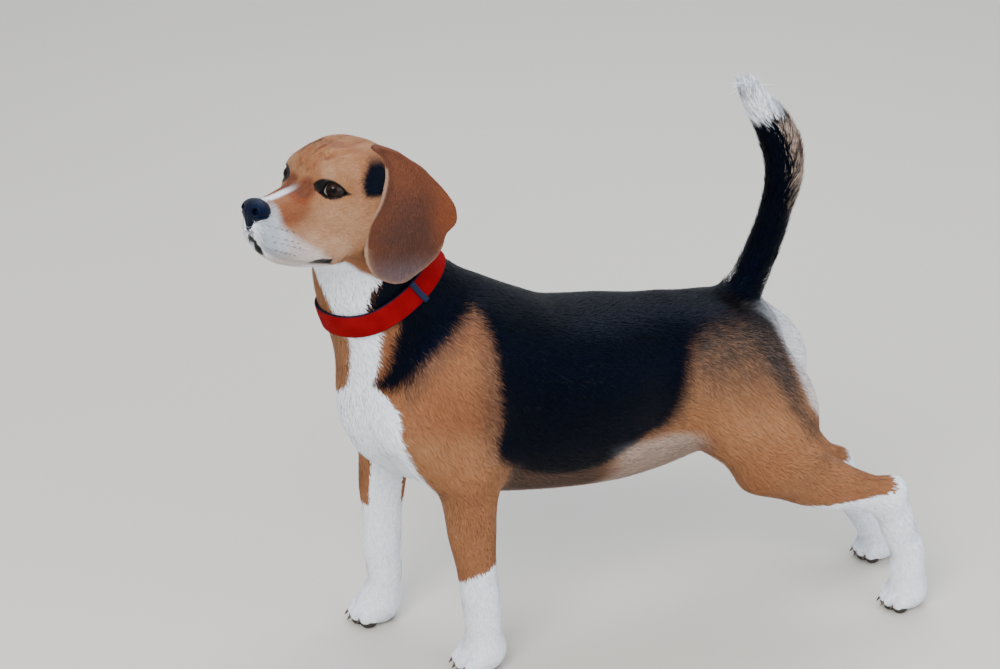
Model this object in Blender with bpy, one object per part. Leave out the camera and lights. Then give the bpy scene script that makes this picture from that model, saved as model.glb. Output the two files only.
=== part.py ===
"""A tricolour beagle standing in show stance with its tail up, wearing a webbing collar.

The dog's body is one smooth form, worked out as a distance to eggs and sleeves of flesh that run along
its joints, and parted into its limbs by hairline cuts. Ears, eyes, nose and collar are pieces of their own.
Metres, +Z up. The dog faces -X and stands on flats cut under its four paws."""
import bpy
import bmesh
import numpy as np
from mathutils import Matrix, Vector

GAP = 0.00035                  # between pieces that touch
FLESH_CELL, THIN_CELL = 0.0040, 0.0024
FLESH_FACES, EAR_FACES, NOSE_FACES = 3660, 290, 120
STRAP_WIDTH, STRAP_THICK = 0.024, 0.0026
COLOURS = {                    # linear base colour, roughness
    "tan": ((0.36, 0.14, 0.05), 0.85),
    "black": ((0.006, 0.006, 0.008), 0.75),
    "white": ((0.74, 0.71, 0.66), 0.85),
    "ear": ((0.14, 0.045, 0.022), 0.80),
    "leather": ((0.010, 0.011, 0.014), 0.35),
    "eye": ((0.020, 0.008, 0.004), 0.05),
    "webbing": ((0.42, 0.006, 0.008), 0.70),
    "plastic": ((0.020, 0.026, 0.040), 0.40),
}

LEFT, RIGHT = -1.0, 1.0        # the dog faces -X, so its left side is at -Y
FAR = 0.05                     # distances beyond this are all alike


# ---------------------------------------------------------------- distances to simple forms
def spline(stations, steps):
    """Rows made denser along a Catmull-Rom curve through them."""
    s = np.asarray(stations, float)
    s = np.vstack([2 * s[0] - s[1], s, 2 * s[-1] - s[-2]])
    t = np.linspace(0, 1, steps, endpoint=False)[:, None]
    rows = [
        0.5 * (2 * b + (c - a) * t + (2 * a - 5 * b + 4 * c - d) * t**2 + (3 * b - a - 3 * c + d) * t**3)
        for a, b, c, d in zip(s, s[1:], s[2:], s[3:])
    ]
    return np.vstack(rows + [s[-2:-1]])


def blend(a, b, reach):
    """The nearer of two distances, rounded over `reach` where they are alike."""
    return np.minimum(a, b) - np.maximum(reach - np.abs(a - b), 0) ** 2 / (4 * reach)


def carve(a, b, reach):
    """Form a with form b taken out of it, the edge rounded over `reach`."""
    return -blend(-a, b, reach)


def sleeve(p, stations, steps=5, power=2.0, keel=0.0):
    """Distance from points p to a fleshy tube: an ellipse carried along a smooth path.

    Each station is x, y, z, half-width across the dog, half-depth square to that.
    power above 2 squares the ellipse, and keel narrows its lower half."""
    s = spline(stations, steps)
    reach = s[:, 3:5].max() + FAR
    near = ((p > s[:, :3].min(0) - reach) & (p < s[:, :3].max(0) + reach)).all(1)
    q = p[near]
    out = np.full(len(p), FAR)
    span = s[1:, :3] - s[:-1, :3]
    length = np.linalg.norm(span, axis=1)
    way = span / length[:, None]
    bend = np.vstack([way[:1], way[:-1] + way[1:], way[-1:]])
    bend /= np.linalg.norm(bend, axis=1)[:, None]
    best, where = np.full(len(q), 1e9), np.zeros(len(q))
    for i, (a, d, n) in enumerate(zip(s[:-1, :3], way, length)):
        r = q - a
        t = np.clip(r @ d, 0, n)
        away = ((r - t[:, None] * d) ** 2).sum(1)
        closer = away < best
        best[closer] = away[closer]
        where[closer] = i + t[closer] / n
    for _ in range(3):      # slide along the path until the way to the point is square to it
        i = np.minimum(where.astype(int), len(span) - 1)
        t = (where - i)[:, None]
        here = s[i] * (1 - t) + s[i + 1] * t
        d = bend[i] * (1 - t) + bend[i + 1] * t
        d /= np.linalg.norm(d, axis=1)[:, None]
        step = ((q - here[:, :3]) * d).sum(1) / length[i]
        where = np.clip(where + 0.8 * np.clip(step, -0.6, 0.6), 0, len(span))
    u = np.array([0.0, 1.0, 0.0]) - d[:, 1:2] * d
    u /= np.linalg.norm(u, axis=1)[:, None]
    v = np.cross(d, u)
    v[v[:, 2] < 0] *= -1
    r = q - here[:, :3]
    pu, pv, pw = ((r * k).sum(1) for k in (u, v, d))
    wide, deep = here[:, 3], here[:, 4]
    if keel:
        wide = wide * (1 + keel * np.clip(pv / deep, -1.1, 1.1))
    ends = (where <= 0) | (where >= len(span))
    whole = np.sqrt(pu**2 + pv**2 + 1e-12)
    stretch = np.where(ends, 1, np.sqrt(whole**2 + pw**2) / whole)
    pw = np.where(ends, pw, 0)
    gu, gv = np.abs(pu) / wide, np.abs(pv) / deep
    g = (gu**power + gv**power) ** (1 / power) + 1e-9
    slope = g ** (1 - power) * np.sqrt((gu ** (power - 1) / wide) ** 2 + (gv ** (power - 1) / deep) ** 2)
    g = g * stretch
    cap = np.minimum(wide, deep)
    k = np.sqrt(g**2 + (pw / cap) ** 2)
    slope = np.sqrt((g * slope) ** 2 + (pw / cap**2) ** 2) / k
    out[near] = (k - 1) / (slope + 1e-9)
    return out


def egg(p, centre, radii, turn=0.0, tip=0.0):
    """Distance from points p to an ellipsoid, turned about Z and tipped about Y in degrees."""
    q = p - np.asarray(centre, float)
    for angle, (i, j) in ((turn, (0, 1)), (tip, (0, 2))):
        if angle:
            a = np.radians(angle)
            q = q.copy()
            q[:, i], q[:, j] = q[:, i] * np.cos(a) + q[:, j] * np.sin(a), q[:, j] * np.cos(a) - q[:, i] * np.sin(a)
    r = np.asarray(radii, float)
    k0 = np.sqrt(((q / r) ** 2).sum(1)) + 1e-9
    k1 = np.sqrt(((q / r**2) ** 2).sum(1)) + 1e-9
    return k0 * (k0 - 1) / k1


# ---------------------------------------------------------------- the head, in its own frame
# Head frame: origin midway between the eyes, +X back along the skull, +Y to the dog's right, +Z up.
HEAD_TURN, HEAD_LIFT = 30.0, 10.0              # degrees: turned to the dog's left, nose raised
EYES_MIDDLE = np.array([-0.271, -0.050, 0.516])
EYE_RADIUS = 0.0105
EYE_CENTRE = np.array([0.0089, 0.0257, 0.0010])  # in the head frame; the left eye mirrors it
EYE_TURN = 42.0                                 # degrees the lids of each eye face outwards


def head_axes():
    t, lift = np.radians(HEAD_TURN), np.radians(HEAD_LIFT)
    back = np.array([np.cos(t) * np.cos(lift), np.sin(t) * np.cos(lift), -np.sin(lift)])
    side = np.array([-np.sin(t), np.cos(t), 0.0])
    return np.array([back, side, np.cross(back, side)])


HEAD_AXES = head_axes()


def to_head(p):
    return (p - EYES_MIDDLE) @ HEAD_AXES.T


def from_head(q):
    return np.asarray(q, float) @ HEAD_AXES + EYES_MIDDLE


def skull(p):
    """Cranium, forehead, muzzle, cheeks, brows, flews and lower jaw, alike on both sides."""
    m = to_head(p)
    m[:, 1] = np.abs(m[:, 1])
    f = egg(m, (0.047, 0, -0.002), (0.049, 0.044, 0.039), tip=6)
    f = blend(f, egg(m, (0.050, 0.021, 0.005), (0.036, 0.021, 0.026)), 0.012)
    f = blend(f, egg(m, (0.018, 0, 0.003), (0.027, 0.029, 0.030)), 0.014)
    muzzle = [(0.022, 0, -0.018, 0.031, 0.028), (-0.010, 0, -0.0225, 0.0235, 0.0225),
              (-0.034, 0, -0.0262, 0.0185, 0.0198), (-0.0512, 0, -0.0275, 0.0166, 0.0182)]
    f = blend(f, sleeve(m, muzzle, power=2.5), 0.010)
    f = blend(f, egg(m, (0.034, 0.030, -0.028), (0.038, 0.018, 0.034), turn=10), 0.018)
    f = blend(f, egg(m, (0.0125, 0.0195, 0.0105), (0.0135, 0.0115, 0.0080)), 0.014)
    flews = [(-0.0502, 0.008, -0.0385, 0.0095, 0.0125), (-0.036, 0.0145, -0.0435, 0.010, 0.0155),
             (-0.010, 0.021, -0.048, 0.0105, 0.0175), (0.014, 0.026, -0.052, 0.012, 0.0170)]
    f = blend(f, sleeve(m, flews), 0.006)
    jaw = [(-0.0455, 0, -0.0530, 0.0105, 0.0080), (-0.026, 0, -0.0600, 0.015, 0.0105),
           (0.004, 0, -0.0620, 0.022, 0.0150), (0.036, 0, -0.0540, 0.030, 0.025)]
    return blend(f, sleeve(m, jaw), 0.006)


def nose(p):
    """The leather of the nose, with the wedge under it."""
    m = to_head(p)
    f = egg(m, (-0.0580, 0, -0.0178), (0.0112, 0.0150, 0.0104))
    return blend(f, egg(m, (-0.0615, 0, -0.028), (0.0055, 0.0055, 0.010)), 0.006)


# The ear hangs as a leaf beside the head: its outline in the head frame's X and Z, front edge first.
EAR_LEAF = [(0.0490, 0.0330), (0.0530, 0.0270), (0.0520, 0.0160), (0.0455, 0.0010), (0.0402, -0.0120), (0.0345, -0.0250),
            (0.0330, -0.0370), (0.0340, -0.0505), (0.0365, -0.0625), (0.0415, -0.0720), (0.0485, -0.0790),
            (0.0600, -0.0840), (0.0705, -0.0865), (0.0800, -0.0850), (0.0885, -0.0790), (0.0985, -0.0710),
            (0.1070, -0.0615), (0.1108, -0.0520), (0.1118, -0.0420), (0.1160, -0.0365), (0.1210, -0.0300),
            (0.1188, -0.0165), (0.1111, -0.0048), (0.1028, 0.0050), (0.0967, 0.0116), (0.0905, 0.0191),
            (0.0812, 0.0254), (0.0735, 0.0309), (0.0632, 0.0346), (0.0550, 0.0362)]
EAR_HALF = 0.0024
EAR_SET = {LEFT: (0.0, 0.0), RIGHT: (-0.0075, -0.005)}   # the right ear is drawn forwards and down


def soft(x, width):
    """Zero below 0, x above it, rounded over `width`."""
    return width * np.log1p(np.exp(np.clip(x / width, -30, 30)))


def ear_lie(x, z):
    """How far out from the middle of the head the ear hangs at x, z."""
    out = 0.049 + 0.24 * (x - 0.030)                        # the back edge stands off
    out = out - 1.10 * soft(z - 0.008, 0.010)               # it turns in to the skull at the fold
    out = out - 0.12 * soft(-0.040 - z, 0.012)
    curl = np.exp(-(((x - 0.026) / 0.010) ** 2)) / (1 + np.exp((z + 0.015) / 0.008))
    return out - 0.007 * curl                               # the front edge curls in


def ring_through(points, steps):
    """A closed Catmull-Rom curve through the points."""
    s = np.asarray(points, float)
    t = np.linspace(0, 1, steps, endpoint=False)[:, None]
    a, b, c, d = (np.roll(s, k, 0)[:, None] for k in (1, 0, -1, -2))
    return (0.5 * (2 * b + (c - a) * t + (2 * a - 5 * b + 4 * c - d) * t**2 + (3 * b - a - 3 * c + d) * t**3)).reshape(-1, 2)


def outline_distance(x, z, curve):
    """Distance to a closed outline in its plane, negative inside."""
    best, inside = np.full(len(x), 9.0), np.zeros(len(x), bool)
    for (x0, z0), (x1, z1) in zip(curve, np.roll(curve, -1, 0)):
        dx, dz = x1 - x0, z1 - z0
        t = np.clip(((x - x0) * dx + (z - z0) * dz) / (dx * dx + dz * dz), 0, 1)
        best = np.minimum(best, np.hypot(x - x0 - t * dx, z - z0 - t * dz))
        inside ^= ((z0 > z) != (z1 > z)) & (x < x0 + (z - z0) * dx / (dz + 1e-15))
    return np.where(inside, -best, best)


def to_ear(p, sign):
    """Points in the leaf's own measures: x back, y out from the head, z up."""
    q = to_head(p)
    back, up = EAR_SET[sign]
    return q[:, 0] - back, q[:, 1] * sign, q[:, 2] - up


def ear(p, sign, half=EAR_HALF):
    """Distance to one ear: a sheet over the leaf's outline, thicker at the fold."""
    x, y, z = to_ear(p, sign)
    near = (x > -0.02) & (x < 0.16) & (y > -0.01) & (y < 0.12) & (z > -0.13) & (z < 0.08)
    out = np.full(len(p), FAR)
    x, y, z = x[near], y[near], z[near]
    flat = outline_distance(x, z, ring_through(EAR_LEAF, 4))
    h, e = ear_lie(x, z), 1e-3
    slope = np.hypot(ear_lie(x + e, z) - h, ear_lie(x, z + e) - h) / e
    r = half * (1 + 0.6 * np.clip((z + 0.02) / 0.05, 0, 1))
    out[near] = np.hypot(np.maximum(flat + r, 0), (y - h) / np.sqrt(1 + slope**2)) - r
    return out


# ---------------------------------------------------------------- trunk, neck and tail: x, y, z, half-width, half-depth
TRUNK = [
    (-0.196, 0, 0.300, 0.036, 0.050), (-0.175, 0, 0.290, 0.056, 0.076), (-0.140, 0, 0.277, 0.068, 0.095),
    (-0.095, 0, 0.266, 0.074, 0.100), (-0.040, 0, 0.256, 0.081, 0.095), (0.020, 0, 0.253, 0.079, 0.093),
    (0.065, 0, 0.255, 0.068, 0.089), (0.105, 0, 0.263, 0.058, 0.083), (0.138, 0, 0.273, 0.053, 0.070),
    (0.160, 0, 0.278, 0.043, 0.055),
]
NECK = [
    (-0.112, 0, 0.300, 0.058, 0.066), (-0.152, 0, 0.333, 0.054, 0.070), (-0.188, -0.003, 0.374, 0.050, 0.064),
    (-0.207, -0.010, 0.417, 0.047, 0.055), (-0.209, -0.018, 0.462, 0.043, 0.044),
]
TAIL = [
    (0.138, 0, 0.318, 0.021, 0.024), (0.164, 0, 0.347, 0.019, 0.022), (0.181, 0, 0.387, 0.016, 0.019),
    (0.193, 0, 0.425, 0.0155, 0.019), (0.199, 0, 0.462, 0.016, 0.022), (0.188, 0, 0.500, 0.016, 0.0215),
    (0.165, 0, 0.535, 0.013, 0.014), (0.151, 0, 0.560, 0.007, 0.008),
]

# ---------------------------------------------------------------- legs: joints, top to bottom
BLADE = (-0.112, 0.038, 0.342)       # top of the shoulder blade, mirrored for the left side
FORE = {
    LEFT: ((-0.182, -0.052, 0.268), (-0.131, -0.064, 0.217), (-0.126, -0.062, 0.150), (-0.118, -0.060, 0.082),
           (-0.115, -0.059, 0.045), (-0.115, -0.059, 0.020)),
    RIGHT: ((-0.188, 0.052, 0.268), (-0.176, 0.064, 0.217), (-0.183, 0.062, 0.150), (-0.185, 0.058, 0.082),
            (-0.184, 0.057, 0.045), (-0.191, 0.057, 0.020)),
}
HIND = {
    LEFT: ((0.126, -0.040, 0.284), (0.166, -0.070, 0.192), (0.226, -0.068, 0.156), (0.295, -0.064, 0.127),
           (0.323, -0.063, 0.060), (0.325, -0.063, 0.019)),
    RIGHT: ((0.154, 0.042, 0.274), (0.193, 0.066, 0.184), (0.240, 0.055, 0.145), (0.282, 0.042, 0.108),
            (0.324, 0.038, 0.048), (0.338, 0.038, 0.019)),
}
FORE_PAW, HIND_PAW = 0.98, 0.88      # sizes of the paws against the toes' own measures


def row(joint, wide, deep):
    return (*joint, wide, deep)


def foreleg(p, sign):
    """Shoulder, upper arm and the straight forearm down to the foot."""
    blade = np.array(BLADE) * (1, sign, 1)
    shoulder, elbow, mid, wrist, pastern, foot = map(np.array, FORE[sign])
    f = sleeve(p, [row(blade, 0.020, 0.030), row((blade + shoulder) / 2 + (0, sign * 0.008, 0), 0.026, 0.040),
                   row(shoulder, 0.024, 0.032)])
    f = blend(f, sleeve(p, [row(shoulder, 0.024, 0.032), row((shoulder + elbow) / 2 + (0.002, 0, 0.002), 0.026, 0.039),
                            row(elbow + (0.002, 0, 0.004), 0.024, 0.032)]), 0.020)
    arm = [row(elbow + (-0.001, 0, 0.002), 0.022, 0.034), row(elbow * 0.6 + mid * 0.4, 0.0205, 0.0278),
           row(mid, 0.0185, 0.0240), row((mid + wrist) / 2, 0.0170, 0.0200), row(wrist, 0.0175, 0.0195),
           row(pastern, 0.0175, 0.0175), row(foot, 0.0185, 0.0175)]
    return blend(f, sleeve(p, arm), 0.012)


def hindleg(p, sign):
    """Thigh, shank and the hock standing over the foot."""
    hip, knee, shin, hock, pastern, foot = map(np.array, HIND[sign])
    bulge = 0.012 if sign == LEFT else 0.021
    f = sleeve(p, [row(hip + (-0.006, 0, 0.010), 0.032, 0.050), row((hip + knee) / 2 + (bulge, sign * 0.004, -0.002), 0.036, 0.061),
                   row(knee + (0.012, 0, 0.002), 0.030, 0.045)])
    f = blend(f, sleeve(p, [row(knee, 0.026, 0.036), row(shin, 0.0215, 0.0285), row(shin * 0.4 + hock * 0.6, 0.0165, 0.0205),
                            row(hock, 0.0150, 0.0195)]), 0.020)
    cannon = [row(hock + (0.002, 0, 0.006), 0.0145, 0.0200), row((hock + pastern) / 2 + (0.001, 0, 0), 0.0140, 0.0180),
              row(pastern, 0.0155, 0.0175), row(foot, 0.018, 0.0175)]
    return blend(f, sleeve(p, cannon), 0.010)


def paw(p, middle, size):
    """Four knuckled toes bunched in front of a heel, a little below the floor for a flat to be cut."""
    x, y, _ = middle
    f = egg(p, (x + 0.002, y, 0.021 * size), (0.021 * size, 0.020 * size, 0.0225 * size))
    for out, back in ((-0.0160, 0.007), (-0.0056, 0.0), (0.0056, 0.0), (0.0160, 0.007)):
        tx, ty = x + (back - 0.014) * size, y + out * size
        toe = [(tx + 0.015, ty * 0.6 + y * 0.4, 0.024 * size, 0.0065 * size, 0.0095 * size),
               (tx, ty, 0.0165 * size, 0.0072 * size, 0.0112 * size),
               (tx - 0.0095 * size, ty, 0.0100 * size, 0.0062 * size, 0.0090 * size)]
        f = blend(f, sleeve(p, toe, steps=3), 0.0035)
    return blend(f, egg(p, (x - 0.004, y, 0.0085), (0.019 * size, 0.017 * size, 0.0100)), 0.004)


def flesh(p):
    """Distance to the whole dog without its ears and the leather of its nose."""
    f = sleeve(p, TRUNK, power=2.25, keel=0.16)
    f = blend(f, egg(p, (-0.182, 0, 0.261), (0.053, 0.044, 0.056)), 0.030)      # breastbone
    f = blend(f, sleeve(p, NECK), 0.040)
    for sign in (LEFT, RIGHT):
        f = blend(f, foreleg(p, sign), 0.030)
        f = blend(f, hindleg(p, sign), 0.034)
        f = blend(f, paw(p, FORE[sign][-1], FORE_PAW), 0.008)
        f = blend(f, paw(p, HIND[sign][-1], HIND_PAW), 0.008)
    f = blend(f, sleeve(p, TAIL), 0.012)
    return blend(f, skull(p), 0.024)


# ---------------------------------------------------------------- a distance turned into a mesh
def net(distance, low, high, cell, coarse=4):
    """Surface nets: one vertex in each cell the zero level crosses, at the mean of the crossings on its
    edges, and one quad around each grid edge that is crossed. Far cells are skipped by a coarse pass."""
    low = np.asarray(low, float)
    n = np.ceil((np.asarray(high) - low) / cell).astype(int)
    n = (n + coarse - 1) // coarse * coarse + 1
    blocks = np.stack(np.meshgrid(*[np.arange(k) for k in (n - 1) // coarse], indexing="ij"), -1).reshape(-1, 3)
    near = np.abs(distance(low + (blocks + 0.5) * coarse * cell)) < coarse * cell * 1.35
    need = np.zeros(n, bool)
    for i, j, k in blocks[near] * coarse:
        need[i : i + coarse + 1, j : j + coarse + 1, k : k + coarse + 1] = True
    grid = np.argwhere(need)
    value = np.full(n, np.nan)
    value[tuple(grid.T)] = distance(low + grid * cell)
    inside, known = value < 0, need
    corner = np.array([(i, j, k) for i in (0, 1) for j in (0, 1) for k in (0, 1)])

    def at_corners(a):
        return np.stack([a[i : n[0] - 1 + i, j : n[1] - 1 + j, k : n[2] - 1 + k] for i, j, k in corner])

    within = at_corners(inside)
    crossed = at_corners(known).all(0) & within.any(0) & ~within.all(0)
    cells = np.argwhere(crossed)
    number = np.full(crossed.shape, -1)
    number[tuple(cells.T)] = np.arange(len(cells))
    values = np.stack([value[tuple((cells + c).T)] for c in corner], 1)
    total, count = np.zeros((len(cells), 3)), np.zeros(len(cells))
    for a in range(8):
        for b in range(a + 1, 8):
            if np.abs(corner[a] - corner[b]).sum() == 1:
                va, vb = values[:, a], values[:, b]
                cut = (va < 0) != (vb < 0)
                t = np.where(cut, va / np.where(cut, va - vb, 1), 0)
                total += np.where(cut[:, None], corner[a] + t[:, None] * (corner[b] - corner[a]), 0)
                count += cut
    points = low + (cells + total / count[:, None]) * cell
    quads = []
    for axis in range(3):
        one, two = [i for i in range(3) if i != axis]
        first = [slice(None)] * 3
        second = [slice(None)] * 3
        first[axis], second[axis] = slice(0, -1), slice(1, None)
        first, second = tuple(first), tuple(second)
        edges = np.argwhere((inside[first] != inside[second]) & known[first] & known[second])
        edges = edges[(edges[:, one] > 0) & (edges[:, two] > 0) & (edges[:, one] < n[one] - 1) & (edges[:, two] < n[two] - 1)]
        u, v = np.zeros(3, int), np.zeros(3, int)
        u[one], v[two] = 1, 1
        q = np.stack([number[tuple((edges - s).T)] for s in (u + v, v, 0 * u, u)], 1)
        outward = inside[tuple(edges.T)] if axis != 1 else ~inside[tuple(edges.T)]
        q[~outward] = q[~outward][:, ::-1]
        quads.append(q)
    quads = np.vstack(quads)
    return points, quads[(quads >= 0).all(1)]


# ---------------------------------------------------------------- the collar's path around the neck
COLLAR_MIDDLE = (-0.195, -0.005)       # a point inside the neck at the collar's height
SLIDE_TURN, BUCKLE_TURN = -64.0, 75.0  # degrees around the neck from the nape, to the left and right


def collar_height(x):
    """The strap lies level round the throat and climbs to the nape."""
    return 0.366 + 0.70 * soft(x + 0.222, 0.012)


def collar_points(turn, rise, lift):
    """Points on the strap: `turn` radians around the neck from the nape, `rise` metres above its
    middle line, `lift` metres off the flesh. Each is found by marching outwards to the flesh."""
    turn, rise = np.broadcast_arrays(np.asarray(turn, float), rise)
    way = np.stack([np.cos(turn), np.sin(turn)], -1)
    r = np.full(turn.shape, 0.020)
    for _ in range(60):
        xy = COLLAR_MIDDLE + way * r[..., None]
        slope = 0.70 / (1 + np.exp(-(xy[..., 0] + 0.222) / 0.012))
        z = collar_height(xy[..., 0]) + rise * np.sqrt(1 + slope**2)
        p = np.concatenate([xy, z[..., None]], -1)
        r = r - 0.8 * (flesh(p.reshape(-1, 3)).reshape(r.shape) - lift)
    return p


# ---------------------------------------------------------------- Blender helpers
def clear():
    for thing in list(bpy.data.objects):
        bpy.data.objects.remove(thing, do_unlink=True)


def material(name):
    colour, rough = COLOURS[name]
    made = bpy.data.materials.get(name)
    if made is None:
        made = bpy.data.materials.new(name)
        made.use_nodes = True
        shader = made.node_tree.nodes["Principled BSDF"]
        shader.inputs["Base Color"].default_value = (*colour, 1)
        shader.inputs["Roughness"].default_value = rough
        made.diffuse_color = (*colour, 1)
    return made


def new_object(name, points, faces, colour="tan"):
    mesh = bpy.data.meshes.new(name)
    mesh.from_pydata([tuple(p) for p in np.asarray(points, float)], [], [tuple(int(i) for i in f) for f in faces])
    mesh.update()
    mesh.materials.append(material(colour))
    made = bpy.data.objects.new(name, mesh)
    bpy.context.scene.collection.objects.link(made)
    return made


def settled(thing):
    """The object's mesh with its modifiers applied, the modifiers gone."""
    bpy.context.view_layer.update()
    done = bpy.data.meshes.new_from_object(thing.evaluated_get(bpy.context.evaluated_depsgraph_get()))
    thing.modifiers.clear()
    thing.data = done
    return thing


def decimated(thing, faces):
    thing.modifiers.new("triangles", "TRIANGULATE")
    settled(thing)
    fewer = thing.modifiers.new("fewer", "DECIMATE")
    fewer.ratio = faces / len(thing.data.polygons)
    return settled(thing)


def boolean(thing, cutter, operation="DIFFERENCE"):
    cut = thing.modifiers.new("cut", "BOOLEAN")
    cut.operation, cut.solver, cut.object = operation, "EXACT", cutter
    return settled(thing)


def copy_of(thing, name):
    made = bpy.data.objects.new(name, thing.data.copy())
    bpy.context.scene.collection.objects.link(made)
    return made


def grown(thing, by):
    """A copy with each vertex moved out along its normal, to cut a neighbour clear of the piece."""
    made = copy_of(thing, thing.name + "_grown")
    mesh = made.data
    count = len(mesh.vertices)
    place, normal = np.empty(count * 3), np.empty(count * 3)
    mesh.vertices.foreach_get("co", place)
    mesh.vertices.foreach_get("normal", normal)
    mesh.vertices.foreach_set("co", place + normal * by)
    mesh.update()
    return made


def drop(*things):
    for thing in things:
        bpy.data.objects.remove(thing, do_unlink=True)


def loose_parts(thing):
    """Each connected part of a mesh as points and faces, the largest first."""
    bm = bmesh.new()
    bm.from_mesh(thing.data)
    left, parts = set(bm.verts), []
    while left:
        seed = next(iter(left))
        group, edge = {seed}, [seed]
        while edge:
            found = [e.other_vert(v) for v in edge for e in v.link_edges]
            edge = [v for v in dict.fromkeys(found) if v not in group]
            group.update(edge)
        left -= group
        order = sorted(group, key=lambda v: v.index)
        index = {v: i for i, v in enumerate(order)}
        faces = [[index[v] for v in f.verts] for f in bm.faces if f.verts[0] in group]
        parts.append((np.array([v.co[:] for v in order]), faces))
    bm.free()
    return sorted(parts, key=lambda part: -len(part[1]))


def keep_largest(thing):
    points, faces = loose_parts(thing)[0]
    mesh = bpy.data.meshes.new(thing.name)
    mesh.from_pydata([tuple(p) for p in points], [], faces)
    for slot in thing.data.materials:
        mesh.materials.append(slot)
    thing.data = mesh
    return thing


def half_space(point, normal, reach, grow):
    """A box whose lower face passes through the point, square to the normal; grow moves that face down."""
    bm = bmesh.new()
    bmesh.ops.create_cube(bm, size=1.0)
    turn = Vector(normal).to_track_quat("Z", "Y").to_matrix().to_4x4()
    place = Matrix.Translation(Vector(point)) @ turn @ Matrix.Translation((0, 0, reach[2] / 2 - grow))
    bmesh.ops.transform(bm, matrix=place @ Matrix.Diagonal((*reach, 1)), verts=bm.verts)
    return from_bmesh("region", bm)


def ball(centre, radii, grow, columns=16, rows=10):
    bm = bmesh.new()
    bmesh.ops.create_uvsphere(bm, u_segments=columns, v_segments=rows, radius=1.0)
    sizes = [r + grow for r in radii]
    bmesh.ops.transform(bm, matrix=Matrix.Translation(Vector(centre)) @ Matrix.Diagonal((*sizes, 1)), verts=bm.verts)
    return from_bmesh("region", bm)


def from_bmesh(name, bm, colour="tan"):
    mesh = bpy.data.meshes.new(name)
    bm.to_mesh(mesh)
    bm.free()
    mesh.materials.append(material(colour))
    made = bpy.data.objects.new(name, mesh)
    bpy.context.scene.collection.objects.link(made)
    return made


# ---------------------------------------------------------------- where the body is parted
def side(sign):
    return "left" if sign == LEFT else "right"


def cuts():
    """Name, region maker and its sizes, in the order they are taken off the body."""
    yield "head", half_space, ((-0.203, -0.014, 0.450), (-0.36, -0.06, 0.93), (0.40, 0.40, 0.30))
    yield "tail", half_space, ((0.160, 0, 0.349), (0.40, 0, 0.916), (0.30, 0.30, 0.40))
    for sign in (LEFT, RIGHT):
        for name, leg, top in (("forepaw_", FORE, 0.050), ("hindpaw_", HIND, 0.062)):
            x, y, _ = leg[sign][-1]
            yield name + side(sign), half_space, ((x, y, top), (0, 0, -1), (0.12, 0.066, 0.10))
    yield "neck", half_space, ((-0.148, 0, 0.330), (-0.45, 0, 0.893), (0.30, 0.30, 0.30))
    for sign in (LEFT, RIGHT):
        shoulder, elbow = FORE[sign][0], FORE[sign][1]
        middle = (shoulder[0] * 0.3 + elbow[0] * 0.7 + 0.008, sign * 0.080, 0.226)
        yield "upper_foreleg_" + side(sign), ball, (middle, (0.069, 0.063, 0.084))
        hip, knee = HIND[sign][0], HIND[sign][1]
        middle = ((hip[0] + knee[0]) / 2 + 0.020, sign * 0.092, 0.232)
        yield "thigh_" + side(sign), ball, (middle, (0.084, 0.080, 0.088))


def build_flesh():
    points, quads = net(flesh, (-0.37, -0.125, -0.012), (0.40, 0.125, 0.60), FLESH_CELL)
    body = decimated(new_object("body", points, quads), FLESH_FACES)
    floor = half_space((0, 0, 0), (0, 0, -1), (1.2, 0.6, 0.1), 0.0)
    boolean(body, floor)                # the flats under the paws
    drop(floor)
    pieces = {}
    for name, region, sizes in cuts():
        inner, outer = region(*sizes, -GAP / 2), region(*sizes, GAP / 2)
        piece = copy_of(body, name)
        pieces[name] = keep_largest(boolean(piece, inner, "INTERSECT"))
        boolean(body, outer)
        drop(inner, outer)
    for points, faces in loose_parts(body)[:5]:
        x, y, z = points.mean(0)
        if abs(y) < 0.03 and z > 0.2:
            name = "trunk"
        else:
            name = ("lower_foreleg_" if x < 0 else "lower_hindleg_") + ("left" if y < 0 else "right")
        pieces[name] = new_object(name, points, faces)
    drop(body)
    return pieces


def build_eyes(head):
    for sign in (LEFT, RIGHT):
        centre = from_head(EYE_CENTRE * (1, sign, 1))
        socket = ball(centre, [EYE_RADIUS] * 3, GAP, 12, 8)
        boolean(head, socket)
        drop(socket)
        eye = ball(centre, [EYE_RADIUS] * 3, 0.0, 12, 8)
        eye.name = "eye_" + side(sign)
        eye.data.materials.clear()
        eye.data.materials.append(material("eye"))


def cut_clear(piece, *neighbours):
    for other in neighbours:
        cutter = grown(other, GAP)
        boolean(piece, cutter)
        drop(cutter)
    return keep_largest(piece)


def build_ears(head, neck):
    for sign in (LEFT, RIGHT):
        low, high = np.array([-0.02, 0.02, -0.10]), np.array([0.14, 0.09, 0.05])
        corners = np.array([(x, y * sign, z) for x in (low[0], high[0]) for y in (low[1], high[1]) for z in (low[2], high[2])])
        world = from_head(corners)
        points, quads = net(lambda p: ear(p, sign), world.min(0), world.max(0), THIN_CELL)
        made = decimated(new_object("ear_" + side(sign), points, quads, "ear"), EAR_FACES)
        cut_clear(made, head, neck)


def build_nose(head):
    middle = from_head((-0.062, 0, -0.020))
    points, quads = net(nose, middle - 0.024, middle + 0.024, 0.0014)
    cut_clear(decimated(new_object("nose", points, quads, "leather"), NOSE_FACES), head)


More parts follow.
